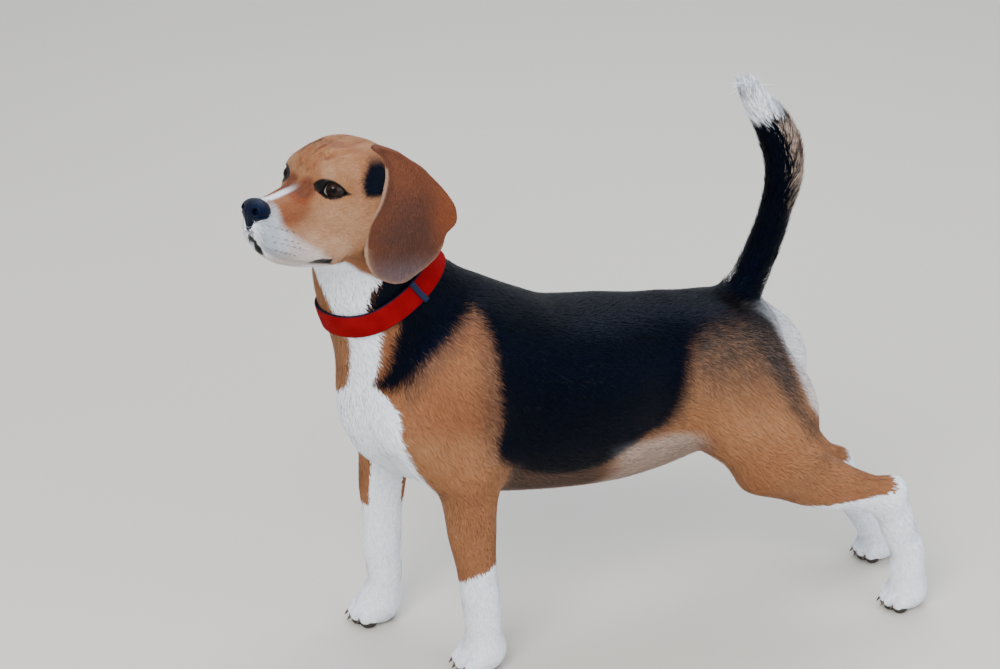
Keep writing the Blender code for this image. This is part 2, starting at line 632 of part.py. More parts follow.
def ribbon(name, turns, rises, inner, outer, colour, closed):
    """A closed band: a rectangle of rises by lifts carried around the neck over the turns."""
    rises = np.asarray(rises)
    under = collar_points(turns[:, None], rises[None], inner)
    over = collar_points(turns[:, None], rises[None, ::-1], outer)
    loops = np.concatenate([under, over], 1)
    n, m = loops.shape[:2]
    rows = n if closed else n - 1
    i, j = np.meshgrid(np.arange(rows), np.arange(m), indexing="ij")
    a, b = i * m + j, i * m + (j + 1) % m
    c, d = (i + 1) % n * m + (j + 1) % m, (i + 1) % n * m + j
    faces = np.stack([a, b, c, d], -1).reshape(-1, 4).tolist()
    if not closed:
        faces += [list(range(m))[::-1], [(n - 1) * m + k for k in range(m)]]
    made = new_object(name, loops.reshape(-1, 3), faces, colour)
    bm = bmesh.new()
    bm.from_mesh(made.data)
    bmesh.ops.recalc_face_normals(bm, faces=bm.faces)
    bm.to_mesh(made.data)
    bm.free()
    return made


def build_collar(*body):
    """The strap, the slide that holds its end down, and a closed side-release buckle."""
    half = STRAP_WIDTH / 2
    strap = ribbon("collar_strap", np.linspace(-np.pi, np.pi, 44, endpoint=False), (-half, 0, half),
                   -0.0012, STRAP_THICK, "webbing", True)
    cut_clear(strap, *body)
    for name, turn, width, proud, stand in (("collar_slide", SLIDE_TURN, 9.0, 0.0022, 0.0016),
                                            ("collar_buckle", BUCKLE_TURN, 38.0, 0.0050, 0.0030)):
        turns = np.radians(np.linspace(turn - width / 2, turn + width / 2, 3 if width < 10 else 6))
        reach = half + stand
        made = ribbon(name, turns, (-reach, 0, reach), STRAP_THICK - 0.0010, STRAP_THICK + proud, "plastic", False)
        cut_clear(made, strap, *body)


def finish():
    """Shade smooth, colour, and stand the dog over the middle of its own footprint."""
    nodes = [thing for thing in bpy.data.objects if thing.type == "MESH"]
    corners = np.array([v.co[:] for thing in nodes for v in thing.data.vertices])
    low, high = corners.min(0), corners.max(0)
    shift = Matrix.Translation((-(low[0] + high[0]) / 2, -(low[1] + high[1]) / 2, -low[2]))
    colours = {"trunk": "black", "tail": "black", "neck": "black", "forepaw_left": "white", "forepaw_right": "white",
               "hindpaw_left": "white", "hindpaw_right": "white", "lower_foreleg_right": "white"}
    for thing in nodes:
        thing.data.transform(shift)
        if thing.name in colours:
            thing.data.materials.clear()
            thing.data.materials.append(material(colours[thing.name]))
        thing.data.shade_smooth()
        thing.data.set_sharp_from_angle(angle=np.radians(40))


def main():
    clear()
    pieces = build_flesh()
    build_eyes(pieces["head"])
    build_nose(pieces["head"])
    build_ears(pieces["head"], pieces["neck"])
    build_collar(pieces["neck"], pieces["trunk"], pieces["head"])
    finish()


if __name__ == "__main__":
    main()
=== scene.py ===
import bmesh
import bpy
import numpy as np
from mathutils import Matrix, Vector


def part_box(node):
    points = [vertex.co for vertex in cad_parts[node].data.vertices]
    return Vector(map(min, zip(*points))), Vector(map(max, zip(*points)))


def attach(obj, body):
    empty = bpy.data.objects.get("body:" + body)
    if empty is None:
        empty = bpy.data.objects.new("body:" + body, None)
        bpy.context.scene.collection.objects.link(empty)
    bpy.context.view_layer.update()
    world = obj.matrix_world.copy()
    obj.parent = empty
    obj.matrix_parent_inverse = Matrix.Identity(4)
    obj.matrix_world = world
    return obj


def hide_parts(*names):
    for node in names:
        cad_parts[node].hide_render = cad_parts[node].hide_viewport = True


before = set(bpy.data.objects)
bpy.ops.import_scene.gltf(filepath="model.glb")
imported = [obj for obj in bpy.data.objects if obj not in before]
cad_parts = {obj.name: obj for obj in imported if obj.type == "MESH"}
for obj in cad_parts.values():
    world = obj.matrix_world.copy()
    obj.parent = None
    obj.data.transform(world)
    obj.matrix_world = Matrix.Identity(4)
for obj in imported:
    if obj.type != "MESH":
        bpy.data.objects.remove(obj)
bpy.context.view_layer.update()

bl_info = {
    "name": "Beagle with a webbing collar",
    "version": (1, 0, 0),
    "blender": (4, 5, 0),
    "location": "3D View > Sidebar > Beagle",
    "description": "Dresses the beagle's solids with skin, coat, eyes, nose, claws and collar",
    "category": "Object",
}

MM = 0.001


LEFT, RIGHT = SIDES = -1.0, 1.0     # the dog faces -X, so its left side is at -Y
FAR = 0.05                          # distances beyond this are all alike


def mm(*rows):
    """Rows of a table given in millimetres, in metres."""
    return [tuple(round(10 * value) / 1e4 for value in row) for row in rows]


# ---------------------------------------------------------------- distances to simple forms
def norm(rows):
    """Length of each row."""
    return np.linalg.norm(rows, axis=1)


def spline(stations, steps):
    """Rows made denser along a Catmull-Rom curve through them."""
    s = np.asarray(stations, float)
    s = np.vstack([2 * s[0] - s[1], s, 2 * s[-1] - s[-2]])
    t = np.linspace(0, 1, steps, endpoint=False)[:, None]
    rows = [0.5 * (2 * b + (c - a) * t + (2 * a - 5 * b + 4 * c - d) * t**2 + (3 * b - a - 3 * c + d)
        * t**3) for a, b, c, d in zip(s, s[1:], s[2:], s[3:])]
    return np.vstack(rows + [s[-2:-1]])


def blend(a, b, reach):
    """The nearer of two distances, rounded over `reach` where they are alike."""
    return np.minimum(a, b) - np.maximum(reach - np.abs(a - b), 0) ** 2 / (4 * reach)


def carve(a, b, reach):
    """Form a with form b taken out of it, the edge rounded over `reach`."""
    return -blend(-a, b, reach)


def sleeve(p, stations, steps=5, power=2.0, keel=0.0):
    """Distance from points p to a fleshy tube: an ellipse carried along a smooth path.

    Each station is x, y, z, half-width across the dog, half-depth square to that.
    power above 2 squares the ellipse, and keel narrows its lower half."""
    s = spline(stations, steps)
    reach = s[:, 3:5].max() + FAR
    near = ((p > s[:, :3].min(0) - reach) & (p < s[:, :3].max(0) + reach)).all(1)
    q = p[near]
    out = np.full(len(p), FAR)
    span = s[1:, :3] - s[:-1, :3]
    length = norm(span)
    way = span / length[:, None]
    bend = np.vstack([way[:1], way[:-1] + way[1:], way[-1:]])
    bend /= norm(bend)[:, None]
    best, where = np.full(len(q), 1e9), np.zeros(len(q))
    for i, (a, d, n) in enumerate(zip(s[:-1, :3], way, length)):
        r = q - a
        t = np.clip(r @ d, 0, n)
        away = ((r - t[:, None] * d) ** 2).sum(1)
        closer = away < best
        best[closer] = away[closer]
        where[closer] = i + t[closer] / n
    for _ in range(3):      # slide along the path until the way to the point is square to it
        i = np.minimum(where.astype(int), len(span) - 1)
        t = (where - i)[:, None]
        here = s[i] * (1 - t) + s[i + 1] * t
        d = bend[i] * (1 - t) + bend[i + 1] * t
        d /= norm(d)[:, None]
        step = ((q - here[:, :3]) * d).sum(1) / length[i]
        where = np.clip(where + 0.8 * np.clip(step, -0.6, 0.6), 0, len(span))
    u = np.array([0.0, 1.0, 0.0]) - d[:, 1:2] * d
    u /= norm(u)[:, None]
    v = np.cross(d, u)
    v[v[:, 2] < 0] *= -1
    r = q - here[:, :3]
    pu, pv, pw = ((r * k).sum(1) for k in (u, v, d))
    wide, deep = here[:, 3], here[:, 4]
    if keel:
        wide = wide * (1 + keel * np.clip(pv / deep, -1.1, 1.1))
    ends = (where <= 0) | (where >= len(span))
    whole = np.sqrt(pu**2 + pv**2 + 1e-12)
    stretch = np.where(ends, 1, np.sqrt(whole**2 + pw**2) / whole)
    pw = np.where(ends, pw, 0)
    gu, gv = np.abs(pu) / wide, np.abs(pv) / deep
    g = (gu**power + gv**power) ** (1 / power) + 1e-9
    slope = g ** (1 - power) * np.sqrt((gu ** (power - 1) / wide) ** 2 + (gv ** (power - 1) / deep) ** 2)
    g = g * stretch
    cap = np.minimum(wide, deep)
    k = np.sqrt(g**2 + (pw / cap) ** 2)
    slope = np.sqrt((g * slope) ** 2 + (pw / cap**2) ** 2) / k
    out[near] = (k - 1) / (slope + 1e-9)
    return out


def egg(p, centre, radii, turn=0.0, tip=0.0):
    """Distance from points p to an ellipsoid, turned about Z and tipped about Y in degrees."""
    q = p - np.asarray(centre, float)
    for angle, (i, j) in ((turn, (0, 1)), (tip, (0, 2))):
        if angle:
            a = np.radians(angle)
            q = q.copy()
            c, s = np.cos(a), np.sin(a)
            q[:, i], q[:, j] = q[:, i] * c + q[:, j] * s, q[:, j] * c - q[:, i] * s
    r = np.asarray(radii, float)
    k0 = np.sqrt(((q / r) ** 2).sum(1)) + 1e-9
    k1 = np.sqrt(((q / r**2) ** 2).sum(1)) + 1e-9
    return k0 * (k0 - 1) / k1


# ---------------------------------------------------------------- the head, in its own frame
# Head frame: origin midway between the eyes, +X back along the skull, +Y to the dog's right, +Z up.
HEAD_TURN, HEAD_LIFT = 30.0, 10.0              # degrees: turned to the dog's left, nose raised
EYES_MIDDLE = np.array([-0.271, -0.05, 0.516])
EYE_RADIUS = 0.0105
EYE_CENTRE = np.array([0.0089, 0.0257, 0.001])  # in the head frame; the left eye mirrors it
EYE_TURN = 42.0                                 # degrees the lids of each eye face outwards


def head_axes():
    """The head frame's axes as rows, from its turn and lift."""
    t, lift = np.radians(HEAD_TURN), np.radians(HEAD_LIFT)
    back = np.array([np.cos(t) * np.cos(lift), np.sin(t) * np.cos(lift), -np.sin(lift)])
    side = np.array([-np.sin(t), np.cos(t), 0.0])
    return np.array([back, side, np.cross(back, side)])


HEAD_AXES = head_axes()


def to_head(p):
    """Points in the head frame."""
    return (p - EYES_MIDDLE) @ HEAD_AXES.T


def from_head(q):
    """Points of the head frame back in the dog's axes."""
    return np.asarray(q, float) @ HEAD_AXES + EYES_MIDDLE


def skull(p):
    """Cranium, forehead, muzzle, cheeks, brows, flews and lower jaw, alike on both sides."""
    m = to_head(p)
    m[:, 1] = np.abs(m[:, 1])
    f = egg(m, (0.047, 0, -0.002), (0.049, 0.044, 0.039), tip=6)
    f = blend(f, egg(m, (0.05, 0.021, 0.005), (0.036, 0.021, 0.026)), 0.012)
    f = blend(f, egg(m, (0.018, 0, 0.003), (0.027, 0.029, 0.03)), 0.014)
    muzzle = [(0.022, 0, -0.018, 0.031, 0.028), (-0.01, 0, -0.0225, 0.0235, 0.0225),
        (-0.034, 0, -0.0262, 0.0185, 0.0198), (-0.0512, 0, -0.0275, 0.0166, 0.0182)]
    f = blend(f, sleeve(m, muzzle, power=2.5), 0.01)
    f = blend(f, egg(m, (0.034, 0.03, -0.028), (0.038, 0.018, 0.034), turn=10), 0.018)
    f = blend(f, egg(m, (0.0125, 0.0195, 0.0105), (0.0135, 0.0115, 0.008)), 0.014)
    flews = [(-0.0502, 0.008, -0.0385, 0.0095, 0.0125), (-0.036, 0.0145, -0.0435, 0.01, 0.0155),
        (-0.01, 0.021, -0.048, 0.0105, 0.0175), (0.014, 0.026, -0.052, 0.012, 0.017)]
    f = blend(f, sleeve(m, flews), 0.006)
    jaw = [(-0.0455, 0, -0.053, 0.0105, 0.008), (-0.026, 0, -0.06, 0.015, 0.0105),
        (0.004, 0, -0.062, 0.022, 0.015), (0.036, 0, -0.054, 0.03, 0.025)]
    return blend(f, sleeve(m, jaw), 0.006)


def nose(p):
    """The leather of the nose, with the wedge under it."""
    m = to_head(p)
    f = egg(m, (-0.058, 0, -0.0178), (0.0112, 0.015, 0.0104))
    return blend(f, egg(m, (-0.0615, 0, -0.028), (0.0055, 0.0055, 0.01)), 0.006)


# The ear hangs as a leaf beside the head: its outline in the head frame's X and Z, front edge first.
EAR_LEAF = mm(
    (49, 33), (53, 27), (52, 16), (45.5, 1), (40.2, -12), (34.5, -25), (33, -37), (34, -50.5), (36.5, -62.5),
    (41.5, -72), (48.5, -79), (60, -84), (70.5, -86.5), (80, -85), (88.5, -79), (98.5, -71), (107, -61.5),
    (110.8, -52), (111.8, -42), (116, -36.5), (121, -30), (118.8, -16.5), (111.1, -4.8), (102.8, 5),
    (96.7, 11.6), (90.5, 19.1), (81.2, 25.4), (73.5, 30.9), (63.2, 34.6), (55, 36.2),
)
EAR_HALF = 0.0024
EAR_SET = {LEFT: (0.0, 0.0), RIGHT: (-0.0075, -0.005)}   # the right ear is drawn forwards and down


def soft(x, width):
    """Zero below 0, x above it, rounded over `width`."""
    return width * np.log1p(np.exp(np.clip(x / width, -30, 30)))


def ear_lie(x, z):
    """How far out from the middle of the head the ear hangs at x, z."""
    out = 0.049 + 0.24 * (x - 0.03)            # the back edge stands off
    out = out - 1.1 * soft(z - 0.008, 0.01)   # it turns in to the skull at the fold
    out = out - 0.12 * soft(-0.04 - z, 0.012)
    curl = np.exp(-(((x - 0.026) / 0.01) ** 2)) / (1 + np.exp((z + 0.015) / 0.008))
    return out - 0.007 * curl                   # the front edge curls in


def ring_through(points, steps):
    """A closed Catmull-Rom curve through the points."""
    s = np.asarray(points, float)
    t = np.linspace(0, 1, steps, endpoint=False)[:, None]
    a, b, c, d = (np.roll(s, k, 0)[:, None] for k in (1, 0, -1, -2))
    curve = 0.5 * (2 * b + (c - a) * t + (2 * a - 5 * b + 4 * c - d) * t**2 + (3 * b - a - 3 * c + d) * t**3)
    return curve.reshape(-1, 2)


def outline_distance(x, z, curve):
    """Distance to a closed outline in its plane, negative inside."""
    best, inside = np.full(len(x), 9.0), np.zeros(len(x), bool)
    for (x0, z0), (x1, z1) in zip(curve, np.roll(curve, -1, 0)):
        dx, dz = x1 - x0, z1 - z0
        t = np.clip(((x - x0) * dx + (z - z0) * dz) / (dx * dx + dz * dz), 0, 1)
        best = np.minimum(best, np.hypot(x - x0 - t * dx, z - z0 - t * dz))
        inside ^= ((z0 > z) != (z1 > z)) & (x < x0 + (z - z0) * dx / (dz + 1e-15))
    return np.where(inside, -best, best)


def to_ear(p, sign):
    """Points in the leaf's own measures: x back, y out from the head, z up."""
    q = to_head(p)
    back, up = EAR_SET[sign]
    return q[:, 0] - back, q[:, 1] * sign, q[:, 2] - up


def ear(p, sign, half=EAR_HALF):
    """Distance to one ear: a sheet over the leaf's outline, thicker at the fold."""
    x, y, z = to_ear(p, sign)
    near = (x > -0.02) & (x < 0.16) & (y > -0.01) & (y < 0.12) & (z > -0.13) & (z < 0.08)
    out = np.full(len(p), FAR)
    x, y, z = x[near], y[near], z[near]
    flat = outline_distance(x, z, ring_through(EAR_LEAF, 4))
    h, e = ear_lie(x, z), 1e-3
    slope = np.hypot(ear_lie(x + e, z) - h, ear_lie(x, z + e) - h) / e
    r = half * (1 + 0.6 * np.clip((z + 0.02) / 0.05, 0, 1))
    out[near] = np.hypot(np.maximum(flat + r, 0), (y - h) / np.sqrt(1 + slope**2)) - r
    return out


# ---------------------------------------------------------------- trunk, neck and tail
# Stations: x, y, z, half-width, half-depth.
TRUNK = mm(
    (-196, 0, 300, 36, 50), (-175, 0, 290, 56, 76), (-140, 0, 277, 68, 95), (-95, 0, 266, 74, 100),
    (-40, 0, 256, 81, 95), (20, 0, 253, 79, 93), (65, 0, 255, 68, 89), (105, 0, 263, 58, 83),
    (138, 0, 273, 53, 70), (160, 0, 278, 43, 55),
)
NECK = mm(
    (-112, 0, 300, 58, 66), (-152, 0, 333, 54, 70), (-188, -3, 374, 50, 64), (-207, -10, 417, 47, 55),
    (-209, -18, 462, 43, 44),
)
TAIL = mm(
    (138, 0, 318, 21, 24), (164, 0, 347, 19, 22), (181, 0, 387, 16, 19), (193, 0, 425, 15.5, 19),
    (199, 0, 462, 16, 22), (188, 0, 500, 16, 21.5), (165, 0, 535, 13, 14), (151, 0, 560, 7, 8),
)

# ---------------------------------------------------------------- legs: joints, top to bottom
BLADE = (-0.112, 0.038, 0.342)       # top of the shoulder blade, mirrored for the left side
FORE = {
    LEFT: ((-0.182, -0.052, 0.268), (-0.131, -0.064, 0.217), (-0.126, -0.062, 0.15), (-0.118, -0.06, 0.082),
           (-0.115, -0.059, 0.045), (-0.115, -0.059, 0.02)),
    RIGHT: ((-0.188, 0.052, 0.268), (-0.176, 0.064, 0.217), (-0.183, 0.062, 0.15), (-0.185, 0.058, 0.082),
            (-0.184, 0.057, 0.045), (-0.191, 0.057, 0.02)),
}
HIND = {
    LEFT: ((0.126, -0.04, 0.284), (0.166, -0.07, 0.192), (0.226, -0.068, 0.156), (0.295, -0.064, 0.127),
           (0.323, -0.063, 0.06), (0.325, -0.063, 0.019)),
    RIGHT: ((0.154, 0.042, 0.274), (0.193, 0.066, 0.184), (0.24, 0.055, 0.145), (0.282, 0.042, 0.108),
            (0.324, 0.038, 0.048), (0.338, 0.038, 0.019)),
}
FORE_PAW, HIND_PAW = 0.98, 0.88      # sizes of the paws against the toes' own measures


def row(joint, wide, deep):
    """A station of a sleeve at a joint."""
    return (*joint, wide, deep)


def foreleg(p, sign):
    """Shoulder, upper arm and the straight forearm down to the foot."""
    blade = np.array(BLADE) * (1, sign, 1)
    shoulder, elbow, mid, wrist, pastern, foot = map(np.array, FORE[sign])
    f = sleeve(p, [row(blade, 0.02, 0.03), row((blade + shoulder) / 2 + (0, sign * 0.008, 0), 0.026, 0.04),
        row(shoulder, 0.024, 0.032)])
    f = blend(f, sleeve(p, [row(shoulder, 0.024, 0.032), row((shoulder + elbow) / 2 + (0.002, 0, 0.002),
        0.026, 0.039), row(elbow + (0.002, 0, 0.004), 0.024, 0.032)]), 0.02)
    arm = [row(elbow + (-0.001, 0, 0.002), 0.022, 0.034), row(elbow * 0.6 + mid * 0.4, 0.0205, 0.0278),
        row(mid, 0.0185, 0.024), row((mid + wrist) / 2, 0.017, 0.02), row(wrist, 0.0175, 0.0195),
        row(pastern, 0.0175, 0.0175), row(foot, 0.0185, 0.0175)]
    return blend(f, sleeve(p, arm), 0.012)


def hindleg(p, sign):
    """Thigh, shank and the hock standing over the foot."""
    hip, knee, shin, hock, pastern, foot = map(np.array, HIND[sign])
    bulge = 0.012 if sign == LEFT else 0.021
    f = sleeve(p, [row(hip + (-0.006, 0, 0.01), 0.032, 0.05),
        row((hip + knee) / 2 + (bulge, sign * 0.004, -0.002), 0.036, 0.061), row(knee + (0.012, 0, 0.002),
        0.03, 0.045)])
    f = blend(f, sleeve(p, [row(knee, 0.026, 0.036), row(shin, 0.0215, 0.0285), row(shin * 0.4 + hock * 0.6,
        0.0165, 0.0205), row(hock, 0.015, 0.0195)]), 0.02)
    cannon = [row(hock + (0.002, 0, 0.006), 0.0145, 0.02), row((hock + pastern) / 2 + (0.001, 0, 0), 0.014,
        0.018), row(pastern, 0.0155, 0.0175), row(foot, 0.018, 0.0175)]
    return blend(f, sleeve(p, cannon), 0.01)


def paw(p, middle, size):
    """Four knuckled toes bunched in front of a heel, a little below the floor for a flat to be cut."""
    x, y, _ = middle
    f = egg(p, (x + 0.002, y, 0.021 * size), (0.021 * size, 0.02 * size, 0.0225 * size))
    for out, back in ((-0.016, 0.007), (-0.0056, 0.0), (0.0056, 0.0), (0.016, 0.007)):
        tx, ty = x + (back - 0.014) * size, y + out * size
        toe = [(tx + 0.015, ty * 0.6 + y * 0.4, 0.024 * size, 0.0065 * size, 0.0095 * size),
            (tx, ty, 0.0165 * size, 0.0072 * size, 0.0112 * size), (tx - 0.0095 * size, ty, 0.01 * size,
            0.0062 * size, 0.009 * size)]
        f = blend(f, sleeve(p, toe, steps=3), 0.0035)
    return blend(f, egg(p, (x - 0.004, y, 0.0085), (0.019 * size, 0.017 * size, 0.01)), 0.004)


def flesh(p, tail=TAIL):
    """Distance to the whole dog without its ears and the leather of its nose."""
    f = sleeve(p, TRUNK, power=2.25, keel=0.16)
    f = blend(f, egg(p, (-0.182, 0, 0.261), (0.053, 0.044, 0.056)), 0.03)      # breastbone
    f = blend(f, sleeve(p, NECK), 0.04)
    for sign in SIDES:
        f = blend(f, foreleg(p, sign), 0.03)
        f = blend(f, hindleg(p, sign), 0.034)
        f = blend(f, paw(p, FORE[sign][-1], FORE_PAW), 0.008)
        f = blend(f, paw(p, HIND[sign][-1], HIND_PAW), 0.008)
    f = blend(f, sleeve(p, tail), 0.012)
    return blend(f, skull(p), 0.024)


# ---------------------------------------------------------------- a distance turned into a mesh
def net(distance, low, high, cell, coarse=4):
    """Surface nets: one vertex in each cell the zero level crosses, at the mean of the crossings on its
    edges, and one quad around each grid edge that is crossed. Far cells are skipped by a coarse pass."""
    low = np.asarray(low, float)
    n = np.ceil((np.asarray(high) - low) / cell).astype(int)
    n = (n + coarse - 1) // coarse * coarse + 1
    blocks = np.stack(np.meshgrid(*[np.arange(k) for k in (n - 1) // coarse], indexing="ij"), -1).reshape(-1,
        3)
    near = np.abs(distance(low + (blocks + 0.5) * coarse * cell)) < coarse * cell * 1.35
    need = np.zeros(n, bool)
    for i, j, k in blocks[near] * coarse:
        need[i : i + coarse + 1, j : j + coarse + 1, k : k + coarse + 1] = True
    grid = np.argwhere(need)
    value = np.full(n, np.nan)
    value[tuple(grid.T)] = distance(low + grid * cell)
    inside, known = value < 0, need
    corner = np.array([(i, j, k) for i in (0, 1) for j in (0, 1) for k in (0, 1)])

    def at_corners(a):
        """A grid of values as eight, one for each corner of the cells."""
        return np.stack([a[i : n[0] - 1 + i, j : n[1] - 1 + j, k : n[2] - 1 + k] for i, j, k in corner])

    within = at_corners(inside)
    crossed = at_corners(known).all(0) & within.any(0) & ~within.all(0)
    cells = np.argwhere(crossed)
    number = np.full(crossed.shape, -1)
    number[tuple(cells.T)] = np.arange(len(cells))
    values = np.stack([value[tuple((cells + c).T)] for c in corner], 1)
    total, count = np.zeros((len(cells), 3)), np.zeros(len(cells))
    for a in range(8):
        for b in range(a + 1, 8):
            if np.abs(corner[a] - corner[b]).sum() == 1:
                va, vb = values[:, a], values[:, b]
                cut = (va < 0) != (vb < 0)
                t = np.where(cut, va / np.where(cut, va - vb, 1), 0)
                total += np.where(cut[:, None], corner[a] + t[:, None] * (corner[b] - corner[a]), 0)
                count += cut
    points = low + (cells + total / count[:, None]) * cell
    quads = []
    for axis in range(3):
        one, two = [i for i in range(3) if i != axis]
        first, second = [slice(None)] * 3, [slice(None)] * 3
        first[axis], second[axis] = slice(0, -1), slice(1, None)
        first, second = tuple(first), tuple(second)
        edges = np.argwhere((inside[first] != inside[second]) & known[first] & known[second])
        along, up = edges[:, one], edges[:, two]
        edges = edges[(along > 0) & (up > 0) & (along < n[one] - 1) & (up < n[two] - 1)]
        u, v = np.zeros(3, int), np.zeros(3, int)
        u[one], v[two] = 1, 1
        q = np.stack([number[tuple((edges - s).T)] for s in (u + v, v, 0 * u, u)], 1)
        outward = inside[tuple(edges.T)] if axis != 1 else ~inside[tuple(edges.T)]
        q[~outward] = q[~outward][:, ::-1]
        quads.append(q)
    quads = np.vstack(quads)
    return points, quads[(quads >= 0).all(1)]


# ---------------------------------------------------------------- the skin, under the coat
def step(low, high, x):
    """0 below low, 1 above high, smooth between."""
    t = np.clip((x - low) / (high - low), 0, 1)
    return t * t * (3 - 2 * t)


def near_head(p, centre, radius):
    """1 at a point of the head frame, fading to 0 at the radius; alike on both sides."""
    m = to_head(p)
    m[:, 1] = np.abs(m[:, 1])
    return 1 - step(0.55 * radius, radius, norm(m - centre))


def zones(p):
    """How much each point belongs to the head, muzzle, legs, feet and tail, from 0 to 1."""
    m = to_head(p)
    head = step(-0.012, 0.012, 0.08 - norm(m - (0.03, 0, -0.02)))
    muzzle = step(0.004, -0.022, m[:, 0]) * (m[:, 0] > -0.09) * (np.abs(m[:, 1]) < 0.05)
    feet = step(0.075, 0.035, p[:, 2])
    legs = step(0.185, 0.14, p[:, 2])
    tail = step(0.345, 0.375, p[:, 2]) * (p[:, 0] > 0.06)
    return head, muzzle, legs, feet, tail


def coat_depth(p):
    """How far the tips of the coat stand above the skin."""
    head, muzzle, legs, feet, tail = zones(p)
    depth = 2.3 + 0.5 * step(0.1, 0.16, p[:, 0]) + 0.4 * step(0.33, 0.38, p[:, 2])
    depth = depth * (1 - 0.4 * legs) * (1 - 0.35 * feet)
    depth = depth * (1 - head) + 1.1 * head
    return (depth * (1 - 0.4 * muzzle) + 0.6 * tail) * MM


# The tail without its brush.
TAIL_CORE = [(x - 0.002 * (z > 0.42), y, z, 0.8 * wide, 0.72 * deep) for x, y, z, wide, deep in TAIL[:-1]]
EYES = {sign: from_head(EYE_CENTRE * (1, sign, 1)) for sign in SIDES}
WRINKLES = [  # furrows of the forehead in the head frame, from the brow up and back over the skull
    mm((-6, 6, 16), (-4.6, 4.6, 20), (1, 3.6, 26.8), (11, 3.4, 32.9), (29.2, 4, 36.1)),
    mm((6, 15, 25), (16, 17.9, 30.3), (24.5, 20.8, 31.6), (36.5, 22.5, 33.5)),
    mm((20, 11, 35), (31.5, 13.4, 34.6), (41, 11.2, 36), (52, 10.8, 36.6)),
    mm((-4.6, 9, 19), (-1, 8.2, 24), (4, 8, 28.5)),
]
LIP = mm(
    (-65, 3.5, -37.5), (-61.8, 8.5, -45.5), (-54.5, 12.5, -54.5), (-42, 17.5, -62), (-25, 22.5, -66.5),
    (-11, 27, -67.2), (1, 30.5, -65), (6, 32.5, -62.5),
)


def line_distance(q, line, steps=4):
    """Distance from points to a smooth line through a few stations, and how far along it each is, 0 to 1."""
    path = spline(line, steps)
    best, where = np.full(len(q), 9.0), np.zeros(len(q))
    for i, (a, b) in enumerate(zip(path, path[1:])):
        d = b - a
        t = np.clip(((q - a) @ d) / (d @ d), 0, 1)
        away = norm(q - a - t[:, None] * d)
        where = np.where(away < best, (i + t) / (len(path) - 1), where)
        best = np.minimum(best, away)
    return best, where


def folds(p):
    """Depth of the folds in the skin: forehead, corner of the mouth, and the crease along the lips."""
    m = to_head(p)
    m[:, 1] = np.abs(m[:, 1])
    out = np.zeros(len(p))
    near = norm(m - (0, 0, -0.02)) < 0.11
    m = m[near]
    depth = np.zeros(len(m))
    for line in WRINKLES:
        away, where = line_distance(m, line)
        swell = 1.8 * np.exp(-((away / 0.0026) ** 2)) - 0.6 * np.exp(-(((away - 0.005) / 0.0026) ** 2))
        depth = depth + swell * np.sin(np.pi * np.clip(where, 0.05, 0.95)) ** 0.7
    away, _ = line_distance(m, LIP)
    depth = depth + 1.6 * np.exp(-((away / 0.0022) ** 2))
    out[near] = depth * MM
    return out


def skin(p):
    """Distance to the skin: the flesh less the coat and the folds, with room for each eyeball."""
    f = flesh(p, TAIL_CORE) + coat_depth(p) + folds(p)
    for sign in SIDES:
        near = norm(p - EYES[sign]) < 0.024
        q, g = p[near], f[near]
        ball = norm(q - EYES[sign]) - EYE_RADIUS
        g = blend(g, ball - 0.9 * MM, 3.5 * MM)
        flat = eye_plane(q, sign)
        hole = np.maximum(flat_distance(flat, OPENING) - 1.0, 1.5 - flat[:, 0]) * MM
        f[near] = carve(carve(g, hole, 0.6 * MM), ball - 0.5 * MM, 0.8 * MM)
    near = norm(to_head(p) - (-0.06, 0, -0.02)) < 0.028
    f[near] = carve(f[near], nose(p[near]) + 1.1 * MM, 0.6 * MM)
    return f


# ---------------------------------------------------------------- markings, alike for skin and coat
# Outlines and edges of the patches. Side outlines are x, z seen from the dog's left.
BLACK_SADDLE = mm(
    (-205, 430), (-217, 405), (-219, 386), (-192, 374), (-197, 356), (-200, 338), (-204, 324), (-215, 309),
    (-203, 306), (-190, 313), (-169, 336), (-157, 346), (-143, 358), (-127, 370), (-119, 373), (-112, 361),
    (-106, 340), (-104, 306), (-101, 268), (-107, 244), (-99, 228), (-78, 212), (-50, 202), (-20, 202),
    (0, 207), (20, 219), (44, 236), (62, 241), (75, 259), (84, 288), (92, 312), (108, 325), (130, 329),
    (153, 326), (172, 318), (215, 330), (260, 400), (260, 620), (120, 640), (20, 460), (-80, 450),
    (-130, 500), (-178, 505),
)
EAR_PATCH = mm(
    (26.8, 11.2), (25.2, 1.7), (28.5, -3.6), (36.7, -4.4), (48, -2), (54, 10), (52, 26), (44, 31.5),
    (38.6, 26.9), (32, 19),
)
WHITE_NEAR = mm(
    (200, -160), (225, -179), (242, -187), (256, -193), (269, -196), (290, -197), (300, -204), (308, -214),
    (330, -209), (363, -207), (380, -219), (392, -219), (405, -217), (419, -207), (424, -212), (432, -222),
    (445, -234), (470, -300),
)
WHITE_FAR = mm(
    (200, 300), (279, 300), (287, -4), (301, -20), (322, -25), (350, -31), (372, -29), (390, -29),
    (405, -25), (420, -16), (435, 0), (445, 30),
)
MUZZLE_WHITE = mm(
    (-85, 30), (-70, 8), (-62, 3), (-57.5, -2), (-52, -10), (-46, -20), (-40, -30), (-34, -38.5), (-28, -45),
    (-20, -49), (-12, -51), (4, -65),
)
THROAT_TOP = mm(
    (-20, -72), (0, -74.5), (15, -73.5), (32.5, -68.8), (41, -73.2), (51, -80), (62, -83.5), (90, -86),
)
LOWER_LIP = mm((-60.6, 0, -44), (-56.8, 2, -48.7), (-54, 2, -53.5), (-50.8, 1, -59))


def edge(table, at):
    """A patch's edge read from a few places along it."""
    where, value = zip(*table)
    return np.interp(at, where, value)


